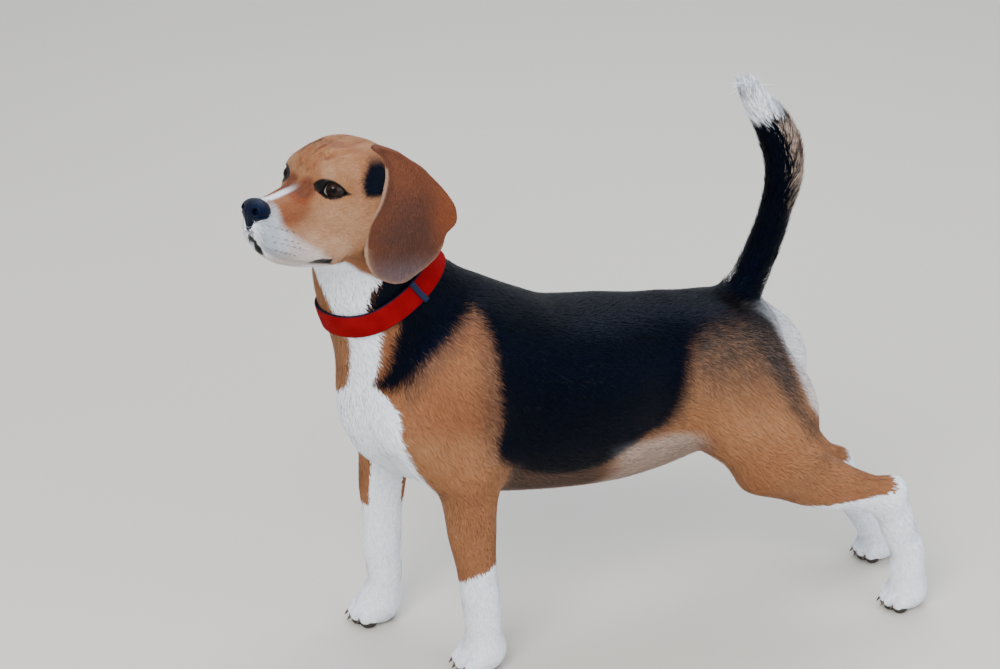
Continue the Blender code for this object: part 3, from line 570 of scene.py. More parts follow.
def outline(p, points):
    """Distance to a closed smooth outline seen from the side, negative inside."""
    return outline_distance(p[:, 0], p[:, 2], ring_through(points, 3))


def ripple(p, size, seed):
    """A slow wandering value about 0, from a few crossed waves `size` metres long."""
    rng = np.random.default_rng(seed)
    total = np.zeros(len(p))
    for _ in range(6):
        way = rng.normal(size=3)
        way *= 2 * np.pi / (size * rng.uniform(0.6, 1.6) * np.linalg.norm(way))
        total += np.sin(p @ way + rng.uniform(0, 6.3))
    return total / 2.4


WHISKER_ROWS = [
    ((-0.055, 0.0175, -0.0293), (-0.033, 0.0236, -0.0348)), ((-0.053, 0.0186, -0.0364),
    (-0.029, 0.0265, -0.0433)), ((-0.05, 0.0195, -0.043), (-0.027, 0.0262, -0.049)),
    ((-0.047, 0.0195, -0.05), (-0.03, 0.0258, -0.0545)),
]


def whisker_roots():
    """Head-frame places of the whiskers of one side, in four rows."""
    rows = [np.array(a) + np.linspace(0, 1, 5)[:, None] * (np.array(b) - a) + np.array([0, 0, 0.0006])
        * (-1) ** i for i, (a, b) in enumerate(WHISKER_ROWS)]
    return np.vstack(rows)


# Soft spots of the face: share of the colour, centre in the head frame, radius.
RUST_SPOTS = [
    (0.6, (-0.0165, 0.011, -0.001), 0.017),     # before the eye
    (0.5, (-0.034, 0.014, -0.01), 0.026),         # behind the nose
    (0.3, (-0.03, 0.022, -0.024), 0.024),         # side of the muzzle
    (0.45, (0.044, 0.034, 0.016), 0.024),          # temple
    (0.3, (0.02, 0.034, 0.002), 0.014),           # behind the eye
]
PALE_SPOTS = [
    (0.16, (0.004, 0.036, -0.04), 0.04),          # cheek
    (0.3, (0.006, 0.036, -0.055), 0.022),          # behind the mouth
    (0.45, (-0.026, 0.024, -0.055), 0.03),         # flews
    (0.22, (-0.001, 0.026, 0.0165), 0.009),         # over the eye
]


def markings(p, scatter=0.0):
    """Share of each of the coat's colours at points p, in the order the colours are laid on.

    scatter, one number a point, moves a tuft's place across a patch's edge, so that the edge is ragged."""
    head = zones(p)[0]
    m = to_head(p)
    m[:, 1] = np.abs(m[:, 1])
    x, y, z = p.T
    jog = scatter * (1 - 0.6 * head)
    under = m[:, 2] - edge(THROAT_TOP, m[:, 0]) + 0.5 * jog
    on_head = step(-0.0025, 0.0025, np.minimum(0.084 - norm(m - (0.026, 0, -0.016)), under))
    lay = {}

    # tan: deeper on the shank, the upper arm, the cheek's top and behind the nose; paler on the cheek
    rust = 0.26 * step(0.27, 0.2, z) * (1 - head)
    for share, centre, radius in RUST_SPOTS:
        rust = rust + share * near_head(p, centre, radius)
    rust = rust + 0.35 * step(0.02, 0.03, m[:, 0]) * step(-0.03, -0.045, m[:, 2]) * head
    # painted shade: deeper rust along the forehead's furrows darkens the creases
    furrow = np.zeros(len(p))
    upper = (head > 0.5) & (m[:, 2] > 0.01)
    furrow[upper] = np.min([line_distance(m[upper], line)[0] for line in WRINKLES],
        axis=0) if upper.any() else 0
    rust = rust + 0.6 * np.exp(-((furrow / 0.003) ** 2)) * upper
    rust = rust + 0.44 * step(-0.245, -0.215, x) * step(-0.05, -0.1, x) * step(0.25, 0.28, z) * (1 - head)
    lay["rust"] = np.clip(rust + 0.1 * ripple(p, 0.05, 3), 0, 1)
    stain = 0.95 * near_head(p, (-0.0148, 0.0105, 0.0005), 0.013)      # the tear stain before each eye
    # painted shade: the ear's dark colour laid thinly along the furrows, as well as the real tear stain
    lay["stain"] = np.maximum(stain, 0.28 * np.exp(-((furrow / 0.0022) ** 2)) * upper)
    pale = 0.06 * head
    for share, centre, radius in PALE_SPOTS:
        pale = pale + share * near_head(p, centre, radius)
    buttock = step(0.135, 0.165, x) * step(0.052, 0.036, np.abs(y - 0.012))
    buttock = buttock * step(0.335, 0.31, z) * step(0.19, 0.23, z)
    rear = 0.168 + 0.36 * np.maximum(0.327 - z, 0) + 0.35 * np.maximum(0.25 - z, 0)
    hem = step(0.002, 0.012, x - rear) * step(0.205, 0.235, z) * step(0.345, 0.325, z) * (y < 0)
    buttock = np.maximum(buttock, hem)
    wide = 0.044 + 0.024 * step(-0.01, 0.03, x)
    belly = step(0.222, 0.205, z) * step(wide, wide - 0.018, np.abs(y))
    belly = belly * step(-0.12, -0.09, x) * step(0.115, 0.09, x)
    flank = step(0.235, 0.218, z) * step(0.0, 0.03, x) * step(0.115, 0.085, x)
    lay["pale"] = np.clip(pale + buttock + 0.9 * np.maximum(belly, flank) + 0.06 * ripple(p, 0.02, 4), 0, 1)
    lay["faded"] = (0.75 - 0.35 * hem) * buttock + 0.12 * np.maximum(belly, flank)

    # grizzled hairs, tan with black tips: the top of the thigh, its rear edge, the shoulder's rear edge
    band = np.exp(-(((x - rear + 0.008) / 0.011) ** 2)) * step(0.2, 0.235, z) * (np.abs(y) > 0.03)
    low_side = step(0.235, 0.215, z) * step(0.168, 0.18, z) * (np.abs(y) > 0.02) * step(-0.1, -0.086, x)
    low_side = low_side * (0.8 * step(0.02, -0.01, x) + 0.18 * step(-0.01, 0.02, x) * step(0.125, 0.1, x))
    thigh = step(0.075, 0.1, x) * step(0.235, 0.325, z)
    shoulder = step(-0.136, -0.108, x) * (x < -0.09) * step(0.235, 0.27, z)
    grizzle = 0.62 * band + 0.85 * thigh + 0.45 * shoulder + 0.1 * ripple(p, 0.012, 5) * thigh
    lay["grizzle"] = np.maximum(np.clip(grizzle, 0, 0.95), low_side)

    # black: the saddle up to the nape and the whole tail, and a patch in front of each ear
    side = np.stack([x, y, z], 1)
    soft = 0.0055 + 0.005 * step(0.05, 0.08, x)
    black = step(soft, -soft, outline(side, BLACK_SADDLE) + 0.8 * jog) * (1 - on_head)
    fuzz = step(0.022, -0.004, outline(side, BLACK_SADDLE) + 2.6 * jog) * step(0.2, 0.24, z) * (x > -0.19)
    lay["grizzle"] = np.maximum(lay["grizzle"], 0.55 * fuzz * (1 - on_head))
    patch = step(0.0032, -0.0032, outline(m, EAR_PATCH) + 0.9 * jog)
    patch = patch * (m[:, 1] > 0.025) * step(0.034, 0.02, m[:, 2])
    lay["black"] = np.maximum(black, patch)
    fringe = step(0.41, 0.428, z) * step(0.512, 0.498, z)
    inner = edge([(0.41, 0.196), (0.438, 0.203), (0.468, 0.204), (0.494, 0.195), (0.512, 0.186)], z)
    lay["fringe"] = fringe * step(-0.003, 0.003, x - inner + jog) * (x > 0.15)

    # white: throat and chest, socks, muzzle, blaze, belly's middle, tip of the tail
    near = edge(WHITE_NEAR, z) - x
    far = edge(WHITE_FAR, z) - y
    far = np.where(y > 0.0, np.maximum(far, near * (z < 0.284) - 9 * (z >= 0.284)), far)
    chest = step(-0.0015, 0.0015, np.minimum(near, np.where(z < 0.284, 9.0, far)) + 0.6 * jog)
    chest = chest * step(0.19, 0.2, z) * (x < -0.1) * (1 - on_head)
    brisket = step(0.205, 0.195, z) * step(0.034, 0.028, np.abs(y)) * (x < -0.09)
    fore = (z < edge([(-0.142, 0.098), (-0.13, 0.11), (-0.108, 0.118)], x) + jog) * (y < 0) * (x < -0.05)
    fore_far = ((z < 0.133 + jog) | ((x > -0.2) & (y < 0.05) & (z < 0.2))) * (y > 0) * (x < -0.098 + jog)
    fore_in = (y > -0.048) * (y < 0) * step(-0.094, -0.102, x + jog) * step(0.215, 0.2, z)
    hind = ((z < 0.139 + 0.5 * jog) | ((x > 0.3005 + jog) & (z < 0.165))) * (y < 0) * (x > 0.15)
    hind_far = ((z < 0.12 + 0.5 * jog) | ((x > 0.297 + jog) & (z < 0.16))) * (y > 0) * (x > 0.15)
    nose_end = step(-0.0095, 0.008, edge(MUZZLE_WHITE, m[:, 2]) - m[:, 0] + 0.8 * jog) * (m[:, 2] < 0.0)
    nose_end = nose_end * (0.42 + 0.58 * step(-0.034, -0.052, m[:, 0]))
    under_jaw = step(-0.064, -0.07, m[:, 2] - 0.1 * m[:, 0]) * (m[:, 0] < 0.05)
    under_jaw = under_jaw * step(0.022, 0.014, m[:, 1]) * on_head
    stripe = 0.85 * step(0.0066, 0.002, m[:, 1] + 0.3 * jog) * step(-0.01, -0.032, m[:, 0])
    stripe = stripe * (m[:, 2] > -0.018) * (z > 0.4)
    tip = step(-0.003, 0.003, z - 0.506 - 0.25 * (x - 0.158) + 1.2 * jog) * (x > 0.05)
    on_face = (m[:, 0] < 0.09) & (m[:, 0] > -0.1) & (np.abs(m[:, 1]) < 0.06) & (z > 0.38)
    face = np.maximum.reduce([nose_end, 0.8 * under_jaw, stripe]) * on_face
    lay["white"] = np.maximum.reduce([chest, brisket, fore, fore_far, fore_in, hind, hind_far, face, tip])
    lay["white"] = np.maximum(lay["white"], 0.55 * belly * step(0.028, 0.01, np.abs(y)))
    # painted shade: a blue-grey laid over the white at the sides of the muzzle's end stands in for the white
    # in shade; and rows of dark whisker roots
    lay["grey"] = 0.7 * nose_end * step(0.004, 0.014, m[:, 1]) * step(-0.022, -0.044, m[:, 0]) * on_face
    spots = np.zeros(len(p))
    near = on_face & (m[:, 0] < -0.02) & (m[:, 1] > 0.01)
    roots = whisker_roots()
    away = np.hypot(m[near][:, None, 0] - roots[None, :, 0], m[near][:, None, 2] - roots[None, :, 2]).min(1)
    spots[near] = step(0.0011, 0.0006, away)
    lay["spots"] = 0.75 * spots

    # bare dark skin: lips, the corners of the mouth, and the rims of the eyes with their two tails. The dark
    # line along the lips and the patch at the lower lip's front are partly the lips' dark skin and partly
    # painted shade, of the crease under the flews and of the mouth's closed gap
    lip, _ = line_distance(m, LIP)
    lip_skin_and_shade = step(0.0032, 0.002, lip) * on_face
    corner = norm((m - (-0.002, 0.029, -0.066)) / (0.0115, 0.0105, 0.0066))
    front, _ = line_distance(m, LOWER_LIP)
    lip_skin_and_shade = np.maximum.reduce([lip_skin_and_shade, step(1.15, 0.85, corner), step(0.0054, 0.0042, front) * on_face])
    lay["dark"] = np.clip(np.maximum(lip_skin_and_shade, eye_rim(p)), 0, 1)
    return lay


def eye_frame(sign, turn=EYE_TURN):
    """Axes of an eye's lids, or of its gaze: out of the head, towards the rear corner, and up."""
    turn = np.radians(turn)
    out = np.array([-np.cos(turn), sign * np.sin(turn), 0.06])
    out /= np.linalg.norm(out)
    rear = np.array([np.sin(turn), sign * np.cos(turn), 0.08])
    rear -= out * (rear @ out)
    rear /= np.linalg.norm(rear)
    up = np.cross(out, rear)
    up *= np.sign(up[2])
    return np.array([out, rear, up]) @ HEAD_AXES


# The lids' opening and the dark rim round it, in millimetres towards the rear corner and up.
OPENING = [
    (10.3, -2.6), (8.4, 0.6), (5.6, 3.6), (2.0, 5.9), (-2.4, 6.9), (-6.4, 5.5), (-9.4, 2.0), (-11.6, -2.7),
    (-9.2, -4.7), (-5.0, -5.9), (0.0, -6.2), (4.6, -5.1), (8.0, -3.6),
]
RIM = [
    (15.4, -3.8), (11.9, -1.4), (7.7, 2.9), (2.3, 7.6), (-5.3, 10.0), (-11.9, 9.6), (-17.4, 6.0),
    (-18.2, 3.2), (-17.2, -0.4), (-14.2, -3.1), (-8.3, -6.8), (-1.6, -8.2), (3.7, -7.2), (9.0, -4.9),
]


def eye_plane(p, sign):
    """Each point in the axes of an eye's lids, millimetres."""
    return ((p - EYES[sign]) @ eye_frame(sign).T) / MM


def flat_distance(q, outline):
    """Distance in millimetres to an outline of the lids' plane, negative inside."""
    return outline_distance(q[:, 1], q[:, 2], ring_through(outline, 5))


def eye_rim(p):
    """The dark rim round each eye, wider at its two corners."""
    rim = np.zeros(len(p))
    for sign in SIDES:
        near = norm(p - EYES[sign]) < 0.03
        q = eye_plane(p[near], sign)
        rim[near] = np.maximum(rim[near], step(0.7, -0.7, flat_distance(q, RIM)) * (q[:, 0] > -4))
    return rim


# ---------------------------------------------------------------- meshes from whole arrays
def eye_shift():
    """From the anatomy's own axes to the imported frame, read at the left eye's solid."""
    low, high = (np.array(corner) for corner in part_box("eye_left"))
    return (low + high) / 2 - EYES[LEFT]


SHIFT = eye_shift()


def linear(text):
    """An sRGB hex colour as linear red, green and blue."""
    value = np.array([int(text[i : i + 2], 16) for i in (1, 3, 5)]) / 255
    return tuple(np.where(value <= 0.04045, value / 12.92, ((value + 0.055) / 1.055) ** 2.4))


def new_piece(name, points, faces, finish, values=None, uv=None):
    """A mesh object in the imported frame. faces is one array of triangles or quads; values holds named
    point attributes, one number, a vector or a colour a point; uv is one pair a face corner."""
    mesh = bpy.data.meshes.new(name)
    faces = np.asarray(faces, np.int32)
    count, sides = faces.shape
    mesh.vertices.add(len(points))
    mesh.vertices.foreach_set("co", (np.asarray(points) + SHIFT).astype(np.float32).ravel())
    mesh.loops.add(count * sides)
    mesh.loops.foreach_set("vertex_index", faces.ravel())
    mesh.polygons.add(count)
    mesh.polygons.foreach_set("loop_start", np.arange(count, dtype=np.int32) * sides)
    mesh.update(calc_edges=True)
    for key, value in (values or {}).items():
        value = np.asarray(value, np.float32)
        kind, slot = {1: ("FLOAT", "value"), 3: ("FLOAT_VECTOR", "vector"), 4: ("FLOAT_COLOR", "color")}[1
            if value.ndim == 1 else value.shape[1]]
        mesh.attributes.new(key, kind, "POINT").data.foreach_set(slot, value.ravel())
    if uv is not None:
        mesh.uv_layers.new(name="OFBake").data.foreach_set("uv", np.asarray(uv, np.float32).ravel())
    mesh.polygons.foreach_set("use_smooth", np.ones(count, bool))
    made = bpy.data.objects.new(name, mesh)
    bpy.context.scene.collection.objects.link(made)
    mesh.materials.append(finish)
    return made


def joined(parts):
    """Several (points, faces) made one."""
    points, faces, base = [], [], 0
    for p, f in parts:
        points.append(p)
        faces.append(np.asarray(f) + base)
        base += len(p)
    return np.vstack(points), np.vstack(faces)


def grid_faces(rows, columns, round_rows=False, round_columns=False):
    """Quads over a grid of points, row by row, closed on itself where asked."""
    i, j = np.meshgrid(np.arange(rows if round_rows else rows - 1),
        np.arange(columns if round_columns else columns - 1), indexing="ij")
    a, b = i * columns + j, i * columns + (j + 1) % columns
    c, d = (i + 1) % rows * columns + (j + 1) % columns, (i + 1) % rows * columns + j
    return np.stack([a, b, c, d], -1).reshape(-1, 4)


def outward(thing, weld=False):
    """Turns the faces of a closed piece to point out. weld first merges the points at a grid's poles."""
    bm = bmesh.new()
    bm.from_mesh(thing.data)
    if weld:
        bmesh.ops.remove_doubles(bm, verts=bm.verts, dist=1e-6)
    bmesh.ops.recalc_face_normals(bm, faces=bm.faces)
    bm.to_mesh(thing.data)
    bm.free()
    return thing


def settle(points, quads, distance, rounds=2):
    """Moves each point along its normal to the zero of the distance, after evening out the net."""
    for _ in range(rounds):
        a, b, c, d = (points[quads[:, k]] for k in range(4))
        face = np.cross(c - a, d - b)
        normal, total, count = np.zeros_like(points), np.zeros_like(points), np.zeros(len(points))
        middle = (a + b + c + d) / 4
        for k in range(4):
            np.add.at(normal, quads[:, k], face)
            np.add.at(total, quads[:, k], middle)
            np.add.at(count, quads[:, k], 1)
        normal /= norm(normal)[:, None] + 1e-12
        drift = total / count[:, None] - points
        points = points + 0.6 * (drift - (drift * normal).sum(1)[:, None] * normal)
        points = points - 0.95 * np.clip(distance(points), -3 * MM, 3 * MM)[:, None] * normal
    return points


def finer(points, faces, chosen, most):
    """The net with each edge between two chosen points halved, as points and triangles.

    Faces of more than `most` corners are cut to triangles first."""
    mesh = bpy.data.meshes.new("finer")
    mesh.from_pydata(points, [], faces)
    bm = bmesh.new()
    bm.from_mesh(mesh)
    edges = [e for e in bm.edges if chosen[e.verts[0].index] and chosen[e.verts[1].index]]
    bmesh.ops.subdivide_edges(bm, edges=edges, cuts=1, use_grid_fill=True)
    bmesh.ops.triangulate(bm, faces=[f for f in bm.faces if len(f.verts) > most])
    bm.to_mesh(mesh)
    bm.free()
    points, corners = triangles(mesh)
    bpy.data.meshes.remove(mesh)
    return points, corners


def largest(points, quads):
    """The biggest connected part of a net."""
    label = np.arange(len(points))
    while True:
        low = label[quads].min(1)
        fresh = label.copy()
        for k in range(4):
            np.minimum.at(fresh, quads[:, k], low)
        fresh = fresh[fresh]
        if (fresh == label).all():
            break
        label = fresh
    names, sizes = np.unique(label, return_counts=True)
    keep = label == names[sizes.argmax()]
    index = np.cumsum(keep) - 1
    return points[keep], index[quads[keep[quads[:, 0]]]]


# Rows of the lids, millimetres: out from the opening, rise above its edge or None, height over the skin.
LID_ROWS = [
    (0.0, 0.3, 0.1), (0.35, 0.9, 0.2), (1.1, 1.1, 0.4), (2.0, None, 0.35), (3.0, None, 0.15),
    (4.3, None, 0.0), (6.0, None, -0.35),
]


def lid_surface(sign):
    """The lids of one eye, by rows round their opening: from just inside the ball up its curve to the
    opening, over the lids' round wet edge, then out to sink under the skin. Towards the two corners the
    edge leaves the ball and keeps to the flesh."""
    ring = ring_through(OPENING, 6)
    along = np.roll(ring, -1, 0) - np.roll(ring, 1, 0)
    away = np.stack([along[:, 1], -along[:, 0]], 1) / norm(along)[:, None]
    away *= np.sign((away * ring).sum())
    ball = EYE_RADIUS / MM
    least = np.interp(ring[:, 0], (-11.6, 10.3), (6.3, 4.4))

    def over_ball(q):
        """Height of the eyeball over places of the lids' plane."""
        return np.sqrt(np.maximum(ball**2 - (q**2).sum(1), 0))

    edge_height = np.maximum(over_ball(ring), least)
    rows = [np.column_stack([np.maximum(over_ball(ring * k), least - drop) + lift, ring * k])
        for k, lift, drop in ((0.8, -0.7, 1.6), (0.9, -0.25, 0.8), (0.965, 0.0, 0.2))]
    for out, rise, over in LID_ROWS:
        flat = ring + away * out
        height = edge_height + (0.6 if rise is None else rise)
        if out > 1.0:
            for _ in range(10):
                place = np.column_stack([height, flat]) * MM @ eye_frame(sign) + EYES[sign]
                height = height - 0.8 * (skin(place) / MM - over)
            if rise is not None:
                height = 0.5 * height + 0.5 * (edge_height + rise)
        rows.append(np.column_stack([height, flat]))
    points = np.concatenate(rows) * MM @ eye_frame(sign) + EYES[sign]
    faces = grid_faces(len(rows), len(ring), round_columns=True)
    middle = points[: len(ring)].mean(0)
    a, b, _, d = (points[faces[3 * len(ring) :, k]] for k in range(4))
    if (np.cross(b - a, d - a) * (a - middle + 20 * MM * eye_frame(sign)[0])).sum() < 0:
        faces = faces[:, ::-1]
    return points, faces


def ear_box(sign):
    """The box round one ear, in the dog's axes."""
    low, high = np.array([-0.02, 0.015, -0.1]), np.array([0.14, 0.09, 0.055])
    corners = np.array([(x, y * sign, z) for x in (low[0], high[0]) for y in (low[1], high[1])
        for z in (low[2], high[2])])
    world = from_head(corners)
    return world.min(0), world.max(0)


EAR_COAT = 0.7 * MM


def ear_skin(p, sign):
    """One ear under its velvet, its root rounded into the head."""
    return ear(p, sign, EAR_HALF - EAR_COAT)


# ---------------------------------------------------------------- colours of skin and coat
def coat_colours(p, kit, ear_side=None, scatter=0.0):
    """Linear colour of the coat at points p, and how glossy it is, from the markings."""
    lay = markings(p, scatter)
    shade = {key: np.array(getattr(kit, key)) for key in ("tan", "rust", "cream", "white", "grey", "black",
        "brown", "ear", "ear_dark", "ear_edge", "bare")}
    colour = np.tile(shade["tan"], (len(p), 1))
    gloss = np.full(len(p), 0.25)

    def lay_on(share, name, shine):
        """Lays a colour over the others by its share."""
        nonlocal colour, gloss
        share = np.clip(share, 0, 1)
        colour = colour * (1 - share[:, None]) + shade[name] * share[:, None]
        gloss = gloss * (1 - share) + shine * share

    lay_on(lay["pale"], "cream", 0.2)
    lay_on(lay["rust"], "rust", 0.25)
    # the tear stain, with painted shade along the forehead's furrows
    lay_on(lay["stain"], "ear", 0.25)
    if ear_side is None:
        lay_on(lay["grizzle"], "brown", 0.4)
        lay_on(lay["black"], "black", 1.0)
        lay_on(lay["fringe"], "cream", 0.2)
        lay_on(0.15 * lay["fringe"], "white", 0.2)
        lay_on(np.maximum(lay["white"], lay["faded"]), "white", 0.1)
        # painted shade: the white at the sides of the muzzle's end greyed as if in shade
        lay_on(lay["grey"], "grey", 0.1)
        lay_on(lay["spots"], "brown", 0.1)
        lay_on(lay["dark"], "bare", 1.0)
        return colour, gloss, lay["dark"]
    x, y, z = to_ear(p, ear_side)
    flat = outline_distance(x, z, ring_through(EAR_LEAF, 4))
    back = y < ear_lie(x, z)
    lay_on(np.ones(len(p)), "ear", 0.35)
    middle = 1 - step(0.01, 0.052, np.hypot((x - 0.072) * 0.9, (z + 0.042) * 0.8))
    front = step(0.064, 0.045, x) * step(-0.03, 0.0, z)
    lay_on(np.maximum(0.95 * middle, 0.75 * front) + 0.07 * ripple(p, 0.014, 9), "ear_dark", 0.3)
    lay_on(0.75 * step(0.034, 0.01, np.hypot(x - 0.118, (z + 0.018) * 0.7)), "rust", 0.3)
    lay_on(0.22 * step(-0.05, -0.08, z), "grey", 0.1)
    low = (z < -0.045) | (x < 0.06) & (z < 0.02)
    edging = 0.75 * step(-0.0022, -0.0008, flat) * low + 0.22 * step(-0.008, -0.002, flat) * (z < -0.05)
    lay_on(edging, "ear_edge", 0.1)
    lay_on(0.5 * back * step(-0.004, -0.01, flat), "cream", 0.1)
    return colour, gloss, np.zeros(len(p))


# ---------------------------------------------------------------- which way the coat lies, and its tufts
def lie_guides():
    """Places along the body and the way the hair runs there: nose to tail, and down each leg."""
    rows = []

    def run(path, reach, steps=4):
        """Guides along a path, each with how far it is felt."""
        line = spline([station[:3] for station in path], steps)
        way = np.diff(line, axis=0)
        way /= norm(way)[:, None]
        rows.append(np.hstack([(line[1:] + line[:-1]) / 2, way, np.full((len(way), 1), reach)]))

    run([(x, y, z + 0.02) for x, y, z, *_ in TRUNK], 0.06)
    run(NECK[::-1], 0.045)
    run([(-0.235, -0.01, 0.4), (-0.222, 0, 0.33), (-0.205, 0, 0.26), (-0.16, 0, 0.19), (-0.09, 0, 0.17),
        (0.0, 0, 0.175), (0.09, 0, 0.2)], 0.04)
    run([(x, y, z) for x, y, z, *_ in TAIL], 0.03)
    for sign in SIDES:
        run([(-0.15, sign * 0.06, 0.34), *FORE[sign][1:]], 0.034)
        run([(0.1, sign * 0.06, 0.31), (0.15, sign * 0.08, 0.245), *HIND[sign][2:]], 0.038)
        brow = [(-0.07, 0.004, -0.01), (-0.04, 0.014, -0.01), (-0.01, 0.02, 0.004), (0.02, 0.022, 0.03),
            (0.06, 0.022, 0.034)]
        cheek = [(-0.066, 0.012, -0.03), (-0.035, 0.022, -0.036), (0.0, 0.034, -0.034), (0.03, 0.042, -0.03),
            (0.07, 0.042, -0.05)]
        for line in (brow, cheek):
            run([from_head(np.array(q) * (1, sign, 1)) for q in line], 0.022)
    run([from_head(q) for q in ((-0.066, 0, -0.055), (-0.03, 0, -0.072), (0.02, 0, -0.076),
        (0.06, 0, -0.075))], 0.022)
    return np.vstack(rows)


def lie_of_coat(p, normal):
    """The way the hair runs at p, flat against the skin: the near guides' ways, weighed by nearness."""
    guides = lie_guides()
    total = np.zeros_like(p) + np.array([1e-7, 0, -1e-6])
    for x, y, z, dx, dy, dz, reach in guides:
        weight = np.exp(-((p - (x, y, z)) ** 2).sum(1) / (2 * reach**2)) + 1e-9
        total += weight[:, None] * (dx, dy, dz)
    total /= norm(total)[:, None]
    flank = step(0.0, 0.04, np.abs(p[:, 1])) * step(0.2, 0.24, p[:, 2]) * (p[:, 0] > -0.2) * (p[:, 2] < 0.38)
    total[:, 2] -= 0.55 * flank
    sway = 0.22 * ripple(p, 0.05, 21) + 0.12 * ripple(p, 0.015, 22)
    side = np.cross(normal, total)
    total = total + sway[:, None] * side
    flat = total - (total * normal).sum(1)[:, None] * normal
    return flat / (norm(flat)[:, None] + 1e-9)


def ear_lie_of_coat(p, normal, sign):
    """On an ear the hair runs from the fold down the leaf, fanning to its edge."""
    back, _, _ = to_ear(p, sign)
    way = np.stack([0.1 + 5.0 * (back - 0.07), np.zeros(len(p)), np.full(len(p), -1.0)], 1)
    way = way @ HEAD_AXES
    flat = way - (way * normal).sum(1)[:, None] * normal
    return flat / (norm(flat)[:, None] + 1e-9)


def near_lip(p, reach):
    """1 on the lips' edge, fading to 0 at the reach."""
    m = to_head(p)
    m[:, 1] = np.abs(m[:, 1])
    out = np.zeros(len(p))
    near = (m[:, 0] < 0.03) & (m[:, 0] > -0.09) & (m[:, 2] < -0.025) & (m[:, 2] > -0.09) & (m[:, 1] < 0.05)
    if near.any():
        away = np.minimum(line_distance(m[near], LIP)[0], line_distance(m[near], LOWER_LIP)[0])
        out[near] = step(reach, 0.4 * reach, away)
    return out


def tuft_length(p):
    """Length of the hairs, metres: shortest on the face and feet, longest on the tail and the rear."""
    head, muzzle, legs, feet, tail = zones(p)
    length = 9.0 + 1.5 * step(0.33, 0.38, p[:, 2]) + 2.0 * step(0.14, 0.18, p[:, 0])
    length = length * (1 - 0.3 * legs) * (1 - 0.4 * feet)
    length = length * (1 - head) + 4.8 * head
    length = length * (1 - 0.42 * muzzle)
    by_lip = near_lip(p, 0.005) if muzzle.any() else 0
    length = length * (1 - 0.55 * by_lip)
    for sign in SIDES:
        length = length * (1 - 0.5 * np.exp(-(((norm(p - EYES[sign]) - 0.01) / 0.01) ** 2)))
    fringe = tail * step(0.4, 0.44, p[:, 2]) * (p[:, 0] > 0.19)
    tip = step(0.49, 0.53, p[:, 2]) * (p[:, 0] > 0.05)
    return (length + 3.0 * tail + 6.0 * fringe + 7.0 * tip) * MM


def scattered(mesh, spacing, rng):
    """Places spread evenly by area over a mesh's triangles, `spacing` metres apart on the whole.

    Returns each place, its normal, its place on the mesh's unwrap, and the part of the skin it is on."""
    mesh.calc_loop_triangles()
    count = len(mesh.loop_triangles)
    corners, loops = np.empty(count * 3, np.int32), np.empty(count * 3, np.int32)
    mesh.loop_triangles.foreach_get("vertices", corners)
    mesh.loop_triangles.foreach_get("loops", loops)
    corners, loops = corners.reshape(-1, 3), loops.reshape(-1, 3)
    points, normals = (np.empty(len(mesh.vertices) * 3, np.float32) for _ in range(2))
    mesh.vertices.foreach_get("co", points)
    mesh.vertices.foreach_get("normal", normals)
    points, normals = points.reshape(-1, 3).astype(float) - SHIFT, normals.reshape(-1, 3).astype(float)
    uv = np.empty(len(mesh.loops) * 2, np.float32)
    mesh.uv_layers["OFBake"].data.foreach_get("uv", uv)
    uv = uv.reshape(-1, 2)
    a, b, c = (points[corners[:, k]] for k in range(3))
    area = norm(np.cross(b - a, c - a)) / 2
    wanted = area / spacing((a + b + c) / 3) ** 2
    number = np.floor(wanted + rng.random(count)).astype(int)
    chosen = np.repeat(np.arange(count), number)
    u, v = rng.random(len(chosen)), rng.random(len(chosen))
    flip = u + v > 1
    u[flip], v[flip] = 1 - u[flip], 1 - v[flip]
    share = np.stack([1 - u - v, u, v], 1)[..., None]
    place = (points[corners[chosen]] * share).sum(1)
    normal = (normals[corners[chosen]] * share).sum(1)
    normal /= norm(normal)[:, None] + 1e-12
    part = np.empty(len(mesh.vertices), np.float32)
    mesh.attributes["part"].data.foreach_get("value", part)
    return place, normal, (uv[loops[chosen]] * share).sum(1), part[corners[chosen, 0]]


